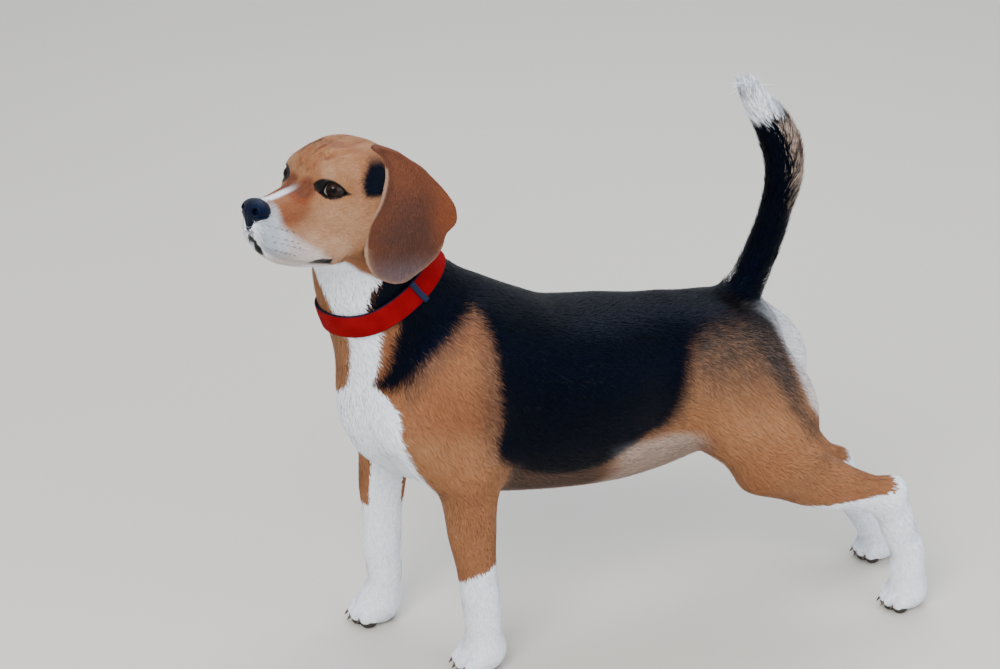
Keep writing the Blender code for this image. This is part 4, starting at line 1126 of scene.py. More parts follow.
def tufts(name, place, normal, way, uv, length, width, depth, colour, gloss, distance, rng, finish,
        stand=None):
    """Flat tapered tufts: two root points, two at mid length and one tip, three triangles each. Each bends to
    follow the body: its middle and tip are moved out or in to their heights under the coat's outer surface.
    It takes the skin's own normals, a little turned, so that lying hair shades as one sleek surface."""
    count = len(place)
    side = np.cross(normal, way)
    turn = rng.normal(0, 0.13, count)[:, None]
    way = way * np.cos(turn) + side * np.sin(turn)
    side = np.cross(normal, way)
    length = (length * rng.uniform(0.75, 1.2, count))[:, None]
    half = (width * rng.uniform(0.7, 1.25, count) / 2)[:, None]
    depth = depth[:, None]
    stand = np.zeros((count, 1)) if stand is None else stand[:, None]
    middle = place + way * length * 0.5 + normal * depth * 0.6
    tip = place + way * length + normal * (depth * 0.8 + stand)
    sink = rng.uniform(0.1, 0.6, count)[:, None]
    if distance is not None:
        middle = middle + normal * np.clip(-0.4 * depth - distance(middle)[:, None], -0.4 * length,
            0.4 * length)
        tip = tip + normal * np.clip(-sink * depth + stand - distance(tip)[:, None], -0.5 * length,
            0.5 * length)
    root = place - normal * 0.25 * MM
    points = np.stack([root - side * half * 0.7, root + side * half * 0.7, middle + side * half,
        middle - side * half, tip], 1).reshape(-1, 3)
    points[:, 2] = np.maximum(points[:, 2], 0.3 * MM)
    base = np.arange(count)[:, None] * 5
    faces = (base + np.array([[0, 2, 1, 0, 3, 2, 3, 4, 2]])).reshape(-1, 3)
    patch = np.array([(-0.0015, -0.0015), (0.0015, -0.0015), (0.0015, 0.0), (-0.0015, 0.0), (0.0, 0.0015)])
    corner_uv = (uv[:, None] + patch).reshape(-1, 2)[faces.ravel()]
    tone = np.exp(rng.normal(0, 0.075, count))
    tint = np.repeat(np.hstack([colour * tone[:, None], gloss[:, None]]), 5, axis=0)
    along = np.tile([0.0, 0.0, 0.55, 0.55, 1.0], count)
    made = new_piece(name, points, faces, finish, {"tint": tint, "along": along}, corner_uv)
    shading = normal + 0.1 * rng.normal(size=(count, 1)) * side + 0.05 * way
    shading /= norm(shading)[:, None]
    made.data.normals_split_custom_set_from_vertices(np.repeat(shading, 5, axis=0).tolist())
    return made


# ---------------------------------------------------------------- eyes, nose, whiskers, claws and pads
GAZE = {LEFT: 36.0, RIGHT: 17.0}    # degrees each eye looks outwards


def eyeball(sign, finish):
    """A ball about the gaze with the clear cornea standing out before the iris: rings of points from the
    gaze backwards, the radius raised by a smooth bell over the first 30 degrees."""
    rings, columns = 40, 64
    angle = np.radians(180) * np.linspace(0, 1, rings) ** 1.25
    around = np.linspace(0, 2 * np.pi, columns, endpoint=False)
    bulge = 0.8 * MM * np.exp(-((np.degrees(angle) / 31) ** 4))
    radius = EYE_RADIUS - 0.35 * MM + bulge
    local = np.stack([np.broadcast_to(np.cos(angle)[:, None], (rings, columns)),
        np.sin(angle)[:, None] * np.cos(around), np.sin(angle)[:, None] * np.sin(around)], -1)
    points = (local * radius[:, None, None]).reshape(-1, 3) @ eye_frame(sign, GAZE[sign]) + EYES[sign]
    ring = np.repeat(np.degrees(angle), columns)
    turn = np.stack([np.tile(np.cos(around), rings), np.tile(np.sin(around), rings),
        np.zeros(rings * columns)], 1)
    faces = grid_faces(rings, columns, round_columns=True)
    return outward(new_piece("eyeball_" + side(sign), points, faces, finish, {"ring": ring, "turn": turn}),
        weld=True)


def side(sign):
    """The name of a side."""
    return "left" if sign == LEFT else "right"


def nose_leather(p):
    """The nose with its nostrils, the slit that runs back from each, and the groove down its middle."""
    f = nose(p)
    m = to_head(p)
    m[:, 1] = np.abs(m[:, 1])
    f = carve(f, egg(m, (-0.0672, 0.0078, -0.0164), (0.005, 0.0026, 0.0029), turn=-18), 0.0014)
    slit = [(-0.0672, 0.009, -0.0186, 0.0011, 0.0013), (-0.064, 0.0122, -0.02, 0.0008, 0.0011),
        (-0.059, 0.0142, -0.0192, 0.0004, 0.0006)]
    f = carve(f, sleeve(m, slit), 0.001)
    groove = [(-0.069, 0, -0.012, 0.0004, 0.0006), (-0.0698, 0, -0.02, 0.0006, 0.001),
        (-0.068, 0, -0.029, 0.0007, 0.0011), (-0.0668, 0, -0.038, 0.0006, 0.001)]
    return carve(f, sleeve(m, groove), 0.0008)


def hairs(name, roots, ways, length, radius, droop, finish, steps=7):
    """Long single hairs: three-sided tubes that thin to a point and bend by `droop` of their length."""
    count = len(roots)
    t = np.linspace(0, 1, steps)[None, :, None]
    ways = ways / norm(ways)[:, None]
    length = np.asarray(length)[:, None, None]
    line = roots[:, None] + ways[:, None] * length * t + np.array(droop) * length * t**2
    across = np.cross(ways, (0.1, 0.2, 1.0))
    across /= norm(across)[:, None]
    other = np.cross(ways, across)
    turn = np.radians([0, 120, 240])
    ring = (across[:, None] * np.cos(turn)[None, :, None] + other[:, None] * np.sin(turn)[None, :, None])
    thin = radius * (1 - 0.93 * t[..., None] ** 1.3)
    points = (line[:, :, None] + ring[:, None] * thin).reshape(-1, 3)
    one = grid_faces(steps, 3, round_columns=True)
    faces = (np.arange(count)[:, None, None] * steps * 3 + one).reshape(-1, 4)
    return outward(new_piece(name, points, faces, finish,
        {"along": np.tile(np.repeat(t.ravel(), 3), count)}))


def on_skin(q, way, rounds=12):
    """Points moved along their ways until they meet the skin."""
    q = np.array(q, float)
    for _ in range(rounds):
        q = q - 0.8 * skin(q)[:, None] * way
    return q


def toes():
    """Each toe's tip and the size of its paw, for all four paws."""
    for legs, size in ((FORE, FORE_PAW), (HIND, HIND_PAW)):
        for sign in SIDES:
            x, y, _ = legs[sign][-1]
            for out, back in ((-0.016, 0.007), (-0.0056, 0.0), (0.0056, 0.0), (0.016, 0.007)):
                yield np.array([x + (back - 0.014) * size - 0.0095 * size, y + out * size,
                    0.01 * size]), size


def claw(tip, size):
    """A claw: a round section carried down a short arc from the toe, thinning to its point."""
    t = np.linspace(0, 1, 9)[:, None]
    line = tip + size * np.hstack([-0.0015 - 0.0085 * t, 0 * t, 0.003 - 0.0005 * t - 0.0066 * t**2])
    way = np.gradient(line, axis=0)
    way /= norm(way)[:, None]
    across = np.array([0.0, 1.0, 0.0])
    up = np.cross(way, across)
    turn = np.linspace(0, 2 * np.pi, 10, endpoint=False)
    radius = 2.1 * MM * size * np.sqrt(np.clip(1 - t**1.6, 0.004, 1))
    ring = across[None, None] * 0.72 * np.cos(turn)[None, :, None] + up[:, None] * np.sin(turn)[None, :, None]
    points = (line[:, None] + ring * radius[:, None]).reshape(-1, 3)
    points[:, 2] = np.maximum(points[:, 2], 0.4 * MM)
    return points, grid_faces(9, 10, round_columns=True)


def cushion(centre, radii):
    """A pad of the paw: an egg by longitude and latitude, flat where it meets the floor."""
    u, v = np.meshgrid(np.linspace(0, 2 * np.pi, 18, endpoint=False), np.linspace(0.02, np.pi - 0.02, 10))
    points = np.stack([np.sin(v) * np.cos(u), np.sin(v) * np.sin(u), np.cos(v)], -1)
    points = points.reshape(-1, 3) * radii + centre
    points[:, 2] = np.maximum(points[:, 2], 0.2 * MM)
    return points, grid_faces(10, 18, round_columns=True)


# ---------------------------------------------------------------- the collar
COLLAR_MIDDLE = (-0.195, -0.005)
SLIDE_TURN, BUCKLE_TURN = -64.0, 75.0  # degrees around the neck from the nape, to the left and right


def collar_height(x):
    """The strap lies level round the throat and climbs to the nape."""
    return 0.366 + 0.7 * soft(x + 0.222, 0.012)


def collar_points(turn, rise, lift):
    """Points on the strap: `turn` radians around the neck from the nape, `rise` metres above its
    middle line, `lift` metres off the flesh. Each is found by marching outwards to the flesh."""
    turn, rise = np.broadcast_arrays(np.asarray(turn, float), rise)
    way = np.stack([np.cos(turn), np.sin(turn)], -1)
    r = np.full(turn.shape, 0.04)
    for _ in range(26):
        xy = COLLAR_MIDDLE + way * r[..., None]
        slope = 0.7 / (1 + np.exp(-(xy[..., 0] + 0.222) / 0.012))
        z = collar_height(xy[..., 0]) + rise * np.sqrt(1 + slope**2)
        p = np.concatenate([xy, z[..., None]], -1)
        r = r - 0.8 * (flesh(p.reshape(-1, 3)).reshape(r.shape) - lift)
    return p


class Band:
    """The neck's surface under the collar as a smooth sheet: place and outward way at any turn and rise."""

    def __init__(self, half):
        """Measures the neck's surface on a grid of turns and rises, then evens it out."""
        self.turns = np.linspace(-np.pi, np.pi, 120, endpoint=False)
        self.rises = np.linspace(-half, half, 5)
        sheet = collar_points(self.turns[:, None], self.rises[None], 0.0)
        for _ in range(3):      # webbing bridges the small hollows of the neck
            sheet = (np.roll(sheet, 1, 0) + 2 * sheet + np.roll(sheet, -1, 0)) / 4
        self.sheet = sheet
        along = np.roll(sheet, -1, 0) - np.roll(sheet, 1, 0)
        across = np.gradient(sheet, axis=1)
        self.way = np.cross(along, across)
        self.way /= np.linalg.norm(self.way, axis=-1)[..., None]
        if (self.way * (sheet - sheet.mean((0, 1)))).sum() < 0:
            self.way *= -1
        self.half = half

    def read(self, field, turn, rise):
        """The sheet at any turn and rise, between its own points by smooth weights."""
        n = len(self.turns)
        u = (np.asarray(turn) + np.pi) / (2 * np.pi) * n
        i = np.floor(u).astype(int)
        f = (u - i)[..., None]
        v = np.clip((np.asarray(rise) + self.half) / (2 * self.half) * (len(self.rises) - 1), -0.6,
            len(self.rises) - 0.4)
        j = np.clip(np.floor(v).astype(int), 0, len(self.rises) - 2)
        g = (v - j)[..., None]
        a = field[i % n, j] * (1 - g) + field[i % n, j + 1] * g
        b = field[(i + 1) % n, j] * (1 - g) + field[(i + 1) % n, j + 1] * g
        return a * (1 - f) + b * f

    def at(self, turn, rise, lift):
        """Places at a turn and rise, `lift` off the neck."""
        turn, rise, lift = np.broadcast_arrays(turn, rise, lift)
        way = self.read(self.way, turn, rise)
        way /= np.linalg.norm(way, axis=-1)[..., None]
        return self.read(self.sheet, turn, rise) + way * lift[..., None]


def flat_section(half, low, high, steps=14):
    """Rise and lift round a strap's section: flat faces and rounded edges."""
    radius = (high - low) / 2
    rise = np.linspace(-half + radius, half - radius, steps)
    turn = np.linspace(-np.pi / 2, np.pi / 2, 7)[1:-1]
    middle = (high + low) / 2
    rises = np.concatenate([rise, half - radius + radius * np.cos(turn), rise[::-1], -half + radius
        - radius * np.cos(turn)])
    lifts = np.concatenate([np.full(steps, low), middle + radius * np.sin(turn), np.full(steps, high),
        middle - radius * np.sin(turn)])
    return rises, lifts


def carried(band, name, turns, section, finish, closed, lean=0.0):
    """A section of rises and lifts carried around the neck. The point attribute `cloth` is metres along the
    strap and across it; lean turns the section along the strap by that many radians a metre of rise."""
    rises, lifts = section
    points = band.at(turns[:, None] + lean * rises[None], rises[None], lifts[None] if np.ndim(lifts) == 1
        else lifts)
    n, m = points.shape[:2]
    faces = grid_faces(n, m, round_rows=closed, round_columns=True)
    middle = points.mean(1)
    along = np.concatenate([[0], np.cumsum(norm(np.diff(middle, axis=0)))])
    cloth = np.stack([np.repeat(along, m), np.tile(rises, n), np.zeros(n * m)], 1)
    flat = points.reshape(-1, 3)
    if not closed:
        faces = [split(faces)]
        k = np.arange(m)
        for end, order in ((0, 1), (n - 1, -1)):
            cap = np.stack([end * m + k, end * m + (k + 1) % m, np.full(m, len(flat))], 1)
            faces.append(cap[:, ::order])
            flat = np.vstack([flat, points[end].mean(0)])
            cloth = np.vstack([cloth, cloth[end * m : (end + 1) * m].mean(0)])
        faces = np.vstack(faces)
    return outward(new_piece(name, flat, faces, finish, {"cloth": cloth}))


# ---------------------------------------------------------------- the skin
def triangles(mesh):
    """Points and triangles of a mesh as arrays, in the anatomy's axes as they were given."""
    mesh.calc_loop_triangles()
    points = np.empty(len(mesh.vertices) * 3, np.float32)
    corners = np.empty(len(mesh.loop_triangles) * 3, np.int32)
    mesh.vertices.foreach_get("co", points)
    mesh.loop_triangles.foreach_get("vertices", corners)
    return points.reshape(-1, 3).astype(float), corners.reshape(-1, 3)


def normals(points, corners):
    """Normals at the points, from the triangles round them."""
    a, b, c = (points[corners[:, k]] for k in range(3))
    face = np.cross(b - a, c - a)
    total = np.zeros_like(points)
    for k in range(3):
        np.add.at(total, corners[:, k], face)
    return total / (norm(total)[:, None] + 1e-15)


def split(quads):
    """Each quad as two triangles."""
    return np.vstack([quads[:, [0, 1, 2]], quads[:, [0, 2, 3]]])


def close_to_face(p):
    """Points of the face's front: the muzzle, brows, eyes and the corner of the mouth."""
    m = to_head(p)
    x, z = m[:, 0], m[:, 2]
    return (x < 0.036) & (x > -0.09) & (np.abs(m[:, 1]) < 0.06) & (z > -0.085) & (z < 0.045)


def body_net(cell):
    """The skin's distance netted and evened out, finer over the feet and head, and finest over the face."""
    points, quads = largest(*net(skin, (-0.38, -0.13, -0.012), (0.4, 0.13, 0.6), cell))
    points = settle(points, quads, skin)
    points, corners = finer(points, quads, (zones(points)[0] > 0.5) | (points[:, 2] < 0.04), 4)
    points, corners = finer(points, corners, close_to_face(points), 3)
    for _ in range(2):
        points = points - 0.9 * np.clip(skin(points), -2 * MM, 2 * MM)[:, None] * normals(points, corners)
    points[:, 2] = np.maximum(points[:, 2], 0.8 * MM)
    return points, corners


SKIN_CELL, EAR_CELL = 4.15 * MM, 1.9 * MM          # grid of the nets
FLESH_NODES = ["head", "neck", "trunk", "tail"] + [part + "_" + side for part in ("ear", "upper_foreleg",
    "lower_foreleg", "forepaw", "thigh", "lower_hindleg", "hindpaw") for side in ("left", "right")]


def make_skin(kit):
    """The skin: the body's net, a net for each ear, and the lids, in one object with one unwrap."""
    skin_cell, ear_cell = ((SKIN_CELL, EAR_CELL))
    parts, owner = [body_net(skin_cell)], [0]
    for sign in SIDES:
        def leaf(p):
            """Distance to this ear's skin."""
            return ear_skin(p, sign)
        points, quads = net(leaf, *ear_box(sign), ear_cell)
        parts.append((settle(points, quads, leaf), split(quads)))
        owner.append(sign)
    for sign in SIDES:
        points, quads = lid_surface(sign)
        parts.append((points, split(quads)))
        owner.append(2)
    colours, bare, part = [], [], []
    for (points, _), number in zip(parts, owner):
        colour, _, dark = coat_colours(points, kit, ear_side=number if abs(number) == 1 else None)
        if number == 2:
            dark = np.maximum(dark, (np.arange(len(points)) < 6 * len(ring_through(OPENING, 6))))
            colour = colour * (1 - dark[:, None]) + np.array(kit.bare) * dark[:, None]
        colours.append(np.hstack([colour, np.ones((len(points), 1))]))
        bare.append(dark)
        part.append(np.full(len(points), float(number)))
    points, corners = joined(parts)
    made = new_piece("skin", points, corners, skin_material(), {"tint": np.vstack(colours),
        "bare": np.concatenate(bare), "part": np.concatenate(part)})
    unwrap(made)
    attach(made, "root")
    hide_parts(*FLESH_NODES)
    return made


def unwrap(thing):
    """Unwraps the piece by the turn of its own surface."""
    thing.data.uv_layers.new(name="OFBake")
    bpy.context.view_layer.objects.active = thing
    for other in bpy.context.selected_objects:
        other.select_set(False)
    thing.select_set(True)
    bpy.ops.object.mode_set(mode="EDIT")
    bpy.ops.mesh.select_all(action="SELECT")
    bpy.ops.uv.smart_project(angle_limit=np.radians(72), island_margin=0.001)
    bpy.ops.object.mode_set(mode="OBJECT")


# ---------------------------------------------------------------- the coat
def head_surface(p):
    """The coat's outer surface on the head: over the skin and its folds, and over the lids."""
    f = skin(p) - coat_depth(p)
    for sign in SIDES:
        f = np.minimum(f, norm(p - EYES[sign]) - EYE_RADIUS - 1.6 * MM)
    return f


PAD_TOP = 3.5 * MM              # no hair under the paws
LEATHER_GAP = 0.6 * MM          # nor on the nose
REGIONS = ("head", "neck", "trunk", "foreleg", "hindleg", "tail")


def region_of(p):
    """Which of the regions each place is in, as its number."""
    head, _, legs, _, tail = zones(p)
    where = np.full(len(p), 2)
    where[p[:, 0] < -0.145] = 1
    where[(legs > 0.3) & (p[:, 0] < 0.05)] = 3
    where[((legs > 0.3) & (p[:, 0] >= 0.05)) | ((p[:, 0] > 0.1) & (p[:, 2] < 0.32))] = 4
    where[tail > 0.5] = 5
    where[head > 0.5] = 0
    return where


def make_coat(kit):
    """Tufts over the whole skin: a piece for each side of each region of the body, and one for each ear."""
    mesh = bpy.data.objects["skin"].data
    rng = np.random.default_rng(kit.seed)
    thin = kit.spacing * 1.0

    def spacing(p):
        """Distance between tufts, closer where they are short and on the tail."""
        return thin * np.clip(0.155 * tuft_length(p), 0.85 * MM, 1.5 * MM) * (1 - 0.42 * zones(p)[4])

    place, normal, uv, part = scattered(mesh, spacing, rng)
    finish = hair_material()
    where = np.where((part == 0) | (part == 2), region_of(place), 6)
    leather = np.full(len(place), FAR)
    on_face = where == 0
    leather[on_face] = nose(place[on_face])
    across = np.where(on_face, to_head(place)[:, 1], place[:, 1])
    for number, name in enumerate(REGIONS):
        for sign in SIDES:
            chosen = (where == number) & (place[:, 2] > PAD_TOP) & (leather > LEATHER_GAP) & (across
                * sign >= 0)
            dress("coat_" + name + "_" + side(sign), place[chosen], normal[chosen], uv[chosen], kit, finish,
                rng)
    for sign in SIDES:
        chosen = (part == sign) & (flesh(place) > -0.5 * MM)
        dress_ear("coat_ear_" + side(sign), place[chosen], normal[chosen], uv[chosen], sign, kit, finish,
            rng)


def dress(name, place, normal, uv, kit, finish, rng):
    """One region's tufts: their length and lie by their place, their colour with ragged edges."""
    distance = head_surface if "head" in name else flesh
    depth = np.clip(-distance(place), 0.3 * MM, 12 * MM)
    length = tuft_length(place)
    scatter = rng.normal(0, 0.17, len(place)) * length
    way = lie_of_coat(place, normal)
    seen = place + 0.45 * length[:, None] * way
    colour, gloss, _ = coat_colours(seen, kit, scatter=scatter)
    keep = (markings(place)["dark"] < 0.5) & (depth > 0)
    place, seen, normal, uv, depth, length, colour, gloss, way = (a[keep] for a in (place, seen, normal, uv,
        depth, length, colour, gloss, way))
    tail = zones(place)[4]
    width = kit.tuft_width * (0.62 + 0.38 * np.clip(length / (10 * MM), 0, 1.6))
    grizzle = np.clip(markings(seen)["grizzle"], 0, 1) * (rng.random(len(place)) < 0.5)
    colour = colour * (1 - 0.6 * grizzle[:, None])
    made = tufts(name, place, normal, way, uv, length, width, depth, colour, gloss, distance, rng, finish,
        tail * 0.6 * MM)
    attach(made, "root")


def dress_ear(name, place, normal, uv, sign, kit, finish, rng):
    """Velvet on one ear, shortest along its edge, which shows as a clean line."""
    def outer(p):
        """Distance to this ear with its hair."""
        return ear(p, sign)
    colour, gloss, _ = coat_colours(place, kit, ear_side=sign)
    x, _, z = to_ear(place, sign)
    inset = -outline_distance(x, z, ring_through(EAR_LEAF, 4))
    length = (1.6 + 3.4 * step(0.001, 0.01, inset)) * MM
    way = ear_lie_of_coat(place, normal, sign)
    made = tufts(name, place, normal, way, uv, length, np.full(len(place), 0.75 * kit.tuft_width),
        np.full(len(place), EAR_COAT), colour, gloss, outer, rng, finish)
    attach(made, "root")


# ---------------------------------------------------------------- materials
def add(tree, kind, settings=None, **links):
    """Adds a node. settings name its properties or its inputs' values; links name inputs and what feeds them,
    with _ for a space and a number in place of a name where inputs share one."""
    made = tree.nodes.new("ShaderNode" + kind)
    for key, value in (settings or {}).items():
        if isinstance(key, int) or key in made.inputs:
            made.inputs[key].default_value = value
        else:
            setattr(made, key, value)
    for key, source in links.items():
        place = int(key[1:]) if key[1:].isdigit() else key.replace("_", " ")
        tree.links.new(made.inputs[place], source)
    return made


def new_material(name, base=(0.5, 0.5, 0.5), **settings):
    """A Principled material with fixed values on the shader's sockets; returns it, its tree and shader."""
    made = bpy.data.materials.new(name)
    made.use_nodes = True
    made.diffuse_color = (*base, 1)
    shader = made.node_tree.nodes["Principled BSDF"]
    shader.inputs["Base Color"].default_value = (*base, 1)
    for key, value in settings.items():
        shader.inputs[key.replace("_", " ")].default_value = value
    return made, made.node_tree, shader


def feed(shader, name, source):
    """Links what a node puts out to one of the shader's inputs."""
    shader.id_data.links.new(shader.inputs[name], source)


def attribute(tree, name):
    """A value kept at each of the piece's points."""
    return add(tree, "Attribute", {"attribute_name": name})


def noise(tree, millimetres, detail=2.0):
    """Noise whose grains are that many millimetres across, on the piece's own coordinates."""
    place = add(tree, "TexCoord").outputs["Object"]
    return add(tree, "TexNoise", {"Scale": 1000 / millimetres / 2, "Detail": detail},
        Vector=place).outputs[0]


def ramp(tree, fac, *stops):
    """A colour ramp through (place, colour) stops; a single number is a grey."""
    made = add(tree, "ValToRGB", None, Fac=fac)
    line = made.color_ramp
    while len(line.elements) < len(stops):
        line.elements.new(0.5)
    for element, (place, colour) in zip(line.elements, stops):
        element.position = place
        element.color = (*colour, 1) if np.ndim(colour) else (colour, colour, colour, 1)
    return made.outputs[0]


def tinted(tree, colour, by):
    """One colour multiplied by another."""
    return add(tree, "Mix", {"data_type": "RGBA", "blend_type": "MULTIPLY", 0: 1.0}, _6=colour,
        _7=by).outputs[2]


def bumped(tree, shader, height, millimetres):
    """Bump of that real depth from a height between 0 and 1."""
    feed(shader, "Normal", add(tree, "Bump", {"Distance": millimetres * MM}, Height=height).outputs[0])


def hair_material():
    """Short flat guard hair. Each tuft has its own tone, painted darker at its root as shade where the tufts
    overlap and meet the skin. Black hair lies sleek and reflects a sheen whose cool blue is a painted
    reflection of a blue sky, set in its specular tint, and the white and tan are more matt, which sets the
    saddle apart."""
    made, tree, shader = new_material("guard_hair", (0.3, 0.15, 0.07), Specular_IOR_Level=0.18)
    tint = attribute(tree, "tint")
    along = attribute(tree, "along").outputs["Fac"]
    # painted shade: each tuft darker towards its root, where the hairs overlap and meet the skin
    shade = ramp(tree, along, (0.0, 0.84), (0.5, 0.99), (1.0, 1.06))
    streak = ramp(tree, noise(tree, 2.5), (0.3, 0.95), (0.7, 1.05))
    colour = tinted(tree, tinted(tree, tint.outputs["Color"], shade), streak)
    feed(shader, "Base Color", colour)
    rough = add(tree, "MapRange", {3: 0.72, 4: 0.46}, Value=tint.outputs["Alpha"])
    feed(shader, "Roughness", rough.outputs[0])
    # painted reflection: the blue specular tint of glossy black hair stands in for a blue sky reflected in it
    cool = ramp(tree, tint.outputs["Alpha"], (0.3, (1.0, 0.95, 0.9)), (0.9, linear("#1A448C")))
    feed(shader, "Specular Tint", cool)
    return made


def skin_material():
    """Skin seen between the hairs and bare dark skin at the lips and lids: the coat's colours darkened a
    little by a fine grain, partly the grain of lying hair and partly painted shade between the hairs; bare
    skin is smooth, moist and pored."""
    made, tree, shader = new_material("haired_skin", (0.3, 0.15, 0.07), Specular_IOR_Level=0.15)
    tint = attribute(tree, "tint")
    bare = attribute(tree, "bare").outputs["Fac"]
    grain = noise(tree, 0.9, 3.0)
    # the grain both marks the skin and darkens it a little as painted shade between the hairs
    shade = ramp(tree, grain, (0.25, 0.8), (0.75, 1.0))
    feed(shader, "Base Color", tinted(tree, tint.outputs["Color"], shade))
    rough = add(tree, "MapRange", {3: 0.7, 4: 0.34}, Value=bare)
    feed(shader, "Roughness", rough.outputs[0])
    bumped(tree, shader, grain, 0.35)
    return made


def eye_material(kit):
    """A dog's eye: black pupil, dark brown iris with fine spokes, a black ring round it and a dull white in
    its corners, painted darker round the ball towards the rear corner as shade, all under a wet clear coat."""
    made, tree, shader = new_material("wet_eye", kit.eye, Roughness=0.35, Coat_Weight=0.45,
        Coat_Roughness=0.02, Coat_IOR=1.376, Specular_IOR_Level=0.0)
    ring = attribute(tree, "ring").outputs["Fac"]
    turn = attribute(tree, "turn").outputs["Vector"]
    spokes = add(tree, "TexNoise", {"Scale": 9.0, "Detail": 3.0}, Vector=turn).outputs[0]
    place = add(tree, "Math", {"operation": "MULTIPLY", 1: 1 / 60}, _0=ring).outputs[0]
    iris = np.array(kit.eye)
    colour = ramp(tree, place, (0.0, 0.0012), (0.27, 0.0012), (0.32, tuple(iris * 0.7)),
        (0.5, tuple(iris * 1.5)), (0.6, tuple(iris * 0.5)), (0.66, 0.002), (0.72, linear("#858389")),
        (0.95, linear("#A79C98")))
    rear = add(tree, "SeparateXYZ", None, Vector=turn).outputs[0]
    # painted shade: the white is darkened round the ball towards the rear corner
    shaded = add(tree, "MapRange", {1: -0.5, 2: 0.4, 3: 1.0, 4: 0.06}, Value=rear).outputs[0]
    white = add(tree, "MapRange", {1: 0.66, 2: 0.7}, Value=place).outputs[0]
    shade = add(tree, "Mix", {2: 1.0}, _0=white, _3=shaded).outputs[0]
    colour = tinted(tree, tinted(tree, colour, ramp(tree, spokes, (0.3, 0.55), (0.7, 1.25))), shade)
    feed(shader, "Base Color", colour)
    return made


def nose_material(kit):
    """Nose leather: black, moist, pebbled in cells under a millimetre across, which break up its gloss. The
    grooves between the cells are painted darker as shade, and its blue-tinted gloss is a painted reflection
    of a blue sky.
    """
    # painted reflection: the blue specular tint stands in for a blue sky reflected in the moist leather
    made, tree, shader = new_material("nose_leather", kit.nose, Roughness=0.42, Coat_Weight=0.04,
        Coat_Roughness=0.25, Specular_IOR_Level=0.32, Specular_Tint=(*linear("#2460D0"), 1))
    place = add(tree, "TexCoord").outputs["Object"]
    cells = add(tree, "TexVoronoi", {"Scale": 1000 / 1.1, "feature": "DISTANCE_TO_EDGE"},
        Vector=place).outputs[0]
    height = add(tree, "MapRange", {1: 0.0, 2: 0.35}, Value=cells).outputs[0]
    bumped(tree, shader, height, 0.16)
    # painted shade: the leather is darkened to half in the grooves between the cells
    black = ramp(tree, height, (0.0, tuple(0.5 * np.array(kit.nose))), (0.6, tuple(kit.nose)))
    feed(shader, "Base Color", tinted(tree, black, ramp(tree, noise(tree, 4), (0.3, 0.8), (0.7, 1.3))))
    return made


def pad_material():
    """Paw pads: thick dark skin, rough as fine sandpaper and dry."""
    made, tree, shader = new_material("paw_leather", linear("#2B2523"), Roughness=0.75)
    bumped(tree, shader, noise(tree, 0.8, 3), 0.3)
    return made


def claw_material():
    """Claw horn: dark and paler brown mottled in grains about 2 mm across, smooth and fairly glossy."""
    made, tree, shader = new_material("claw_horn", linear("#4A3D34"), Roughness=0.35, Specular_IOR_Level=0.5)
    feed(shader, "Base Color", ramp(tree, noise(tree, 2.0), (0.3, linear("#332A25")),
        (0.7, linear("#6B5A4B"))))
    return made


def whisker_material():
    """Whiskers: stiff hairs, dark at the root and white to the tip."""
    made, tree, shader = new_material("whisker_hair", (0.5, 0.5, 0.5), Roughness=0.4)
    along = attribute(tree, "along").outputs["Fac"]
    feed(shader, "Base Color", ramp(tree, along, (0.0, 0.03), (0.3, 0.25), (0.8, 0.55)))
    return made


def webbing_material(kit):
    """Woven polyester webbing, dyed red: ribs 1.2 mm apart along the strap crossed by finer warp threads,
    with navy selvedges."""
    made, tree, shader = new_material("red_webbing", kit.webbing, Roughness=0.85, Specular_IOR_Level=0.06)
    cloth = attribute(tree, "cloth").outputs["Vector"]
    split = add(tree, "SeparateXYZ", None, Vector=cloth)
    waves = []
    for socket, pitch in ((split.outputs[0], 1.2), (split.outputs[1], 0.8)):
        phase = add(tree, "Math", {"operation": "MULTIPLY", 1: 2 * np.pi / (pitch * MM)},
            _0=socket).outputs[0]
        waves.append(add(tree, "Math", {"operation": "SINE"}, _0=phase).outputs[0])
    weave = add(tree, "Math", {"operation": "MULTIPLY"}, _0=waves[0], _1=waves[1]).outputs[0]
    height = add(tree, "MapRange", {1: -1.0, 2: 1.0}, Value=weave).outputs[0]
    bumped(tree, shader, height, 0.22)
    rise = add(tree, "Math", {"operation": "ABSOLUTE"}, _0=split.outputs[1]).outputs[0]
    selvedge = add(tree, "MapRange", {1: 0.44 * kit.strap_width, 2: 0.485 * kit.strap_width, 3: 1.0, 4: 0.0},
        Value=rise).outputs[0]
    # painted shade and light: the weave's troughs are darker and its ribs lighter
    shade = ramp(tree, height, (0.2, 0.7), (0.8, 1.08))
    worn = ramp(tree, noise(tree, 9, 3), (0.3, 0.82), (0.7, 1.12))
    dye = ramp(tree, selvedge, (0.0, linear("#141728")), (1.0, tuple(kit.webbing)))
    colour = tinted(tree, tinted(tree, dye, shade), worn)
    feed(shader, "Base Color", colour)
    return made


def plastic_material(kit):
    """Moulded acetal: dark slate blue, satin from a spark-eroded mould, with faint wear."""
    made, tree, shader = new_material("moulded_acetal", kit.plastic, Roughness=0.5, Specular_IOR_Level=0.16)
    grain = noise(tree, 0.5, 2)
    bumped(tree, shader, grain, 0.03)
    blue = np.array(kit.plastic)
    worn = ramp(tree, noise(tree, 6, 3), (0.35, tuple(0.85 * blue)), (0.7, tuple(1.25 * blue)))
    feed(shader, "Base Color", worn)
    return made


def floor_material():
    """A plain matt studio floor."""
    made, tree, shader = new_material("studio_floor", linear("#C9C4BB"), Roughness=0.9,
        Specular_IOR_Level=0.2)
    feed(shader, "Base Color", ramp(tree, noise(tree, 900, 2), (0.3, linear("#C4BFB6")),
        (0.7, linear("#CDC8BF"))))
    return made


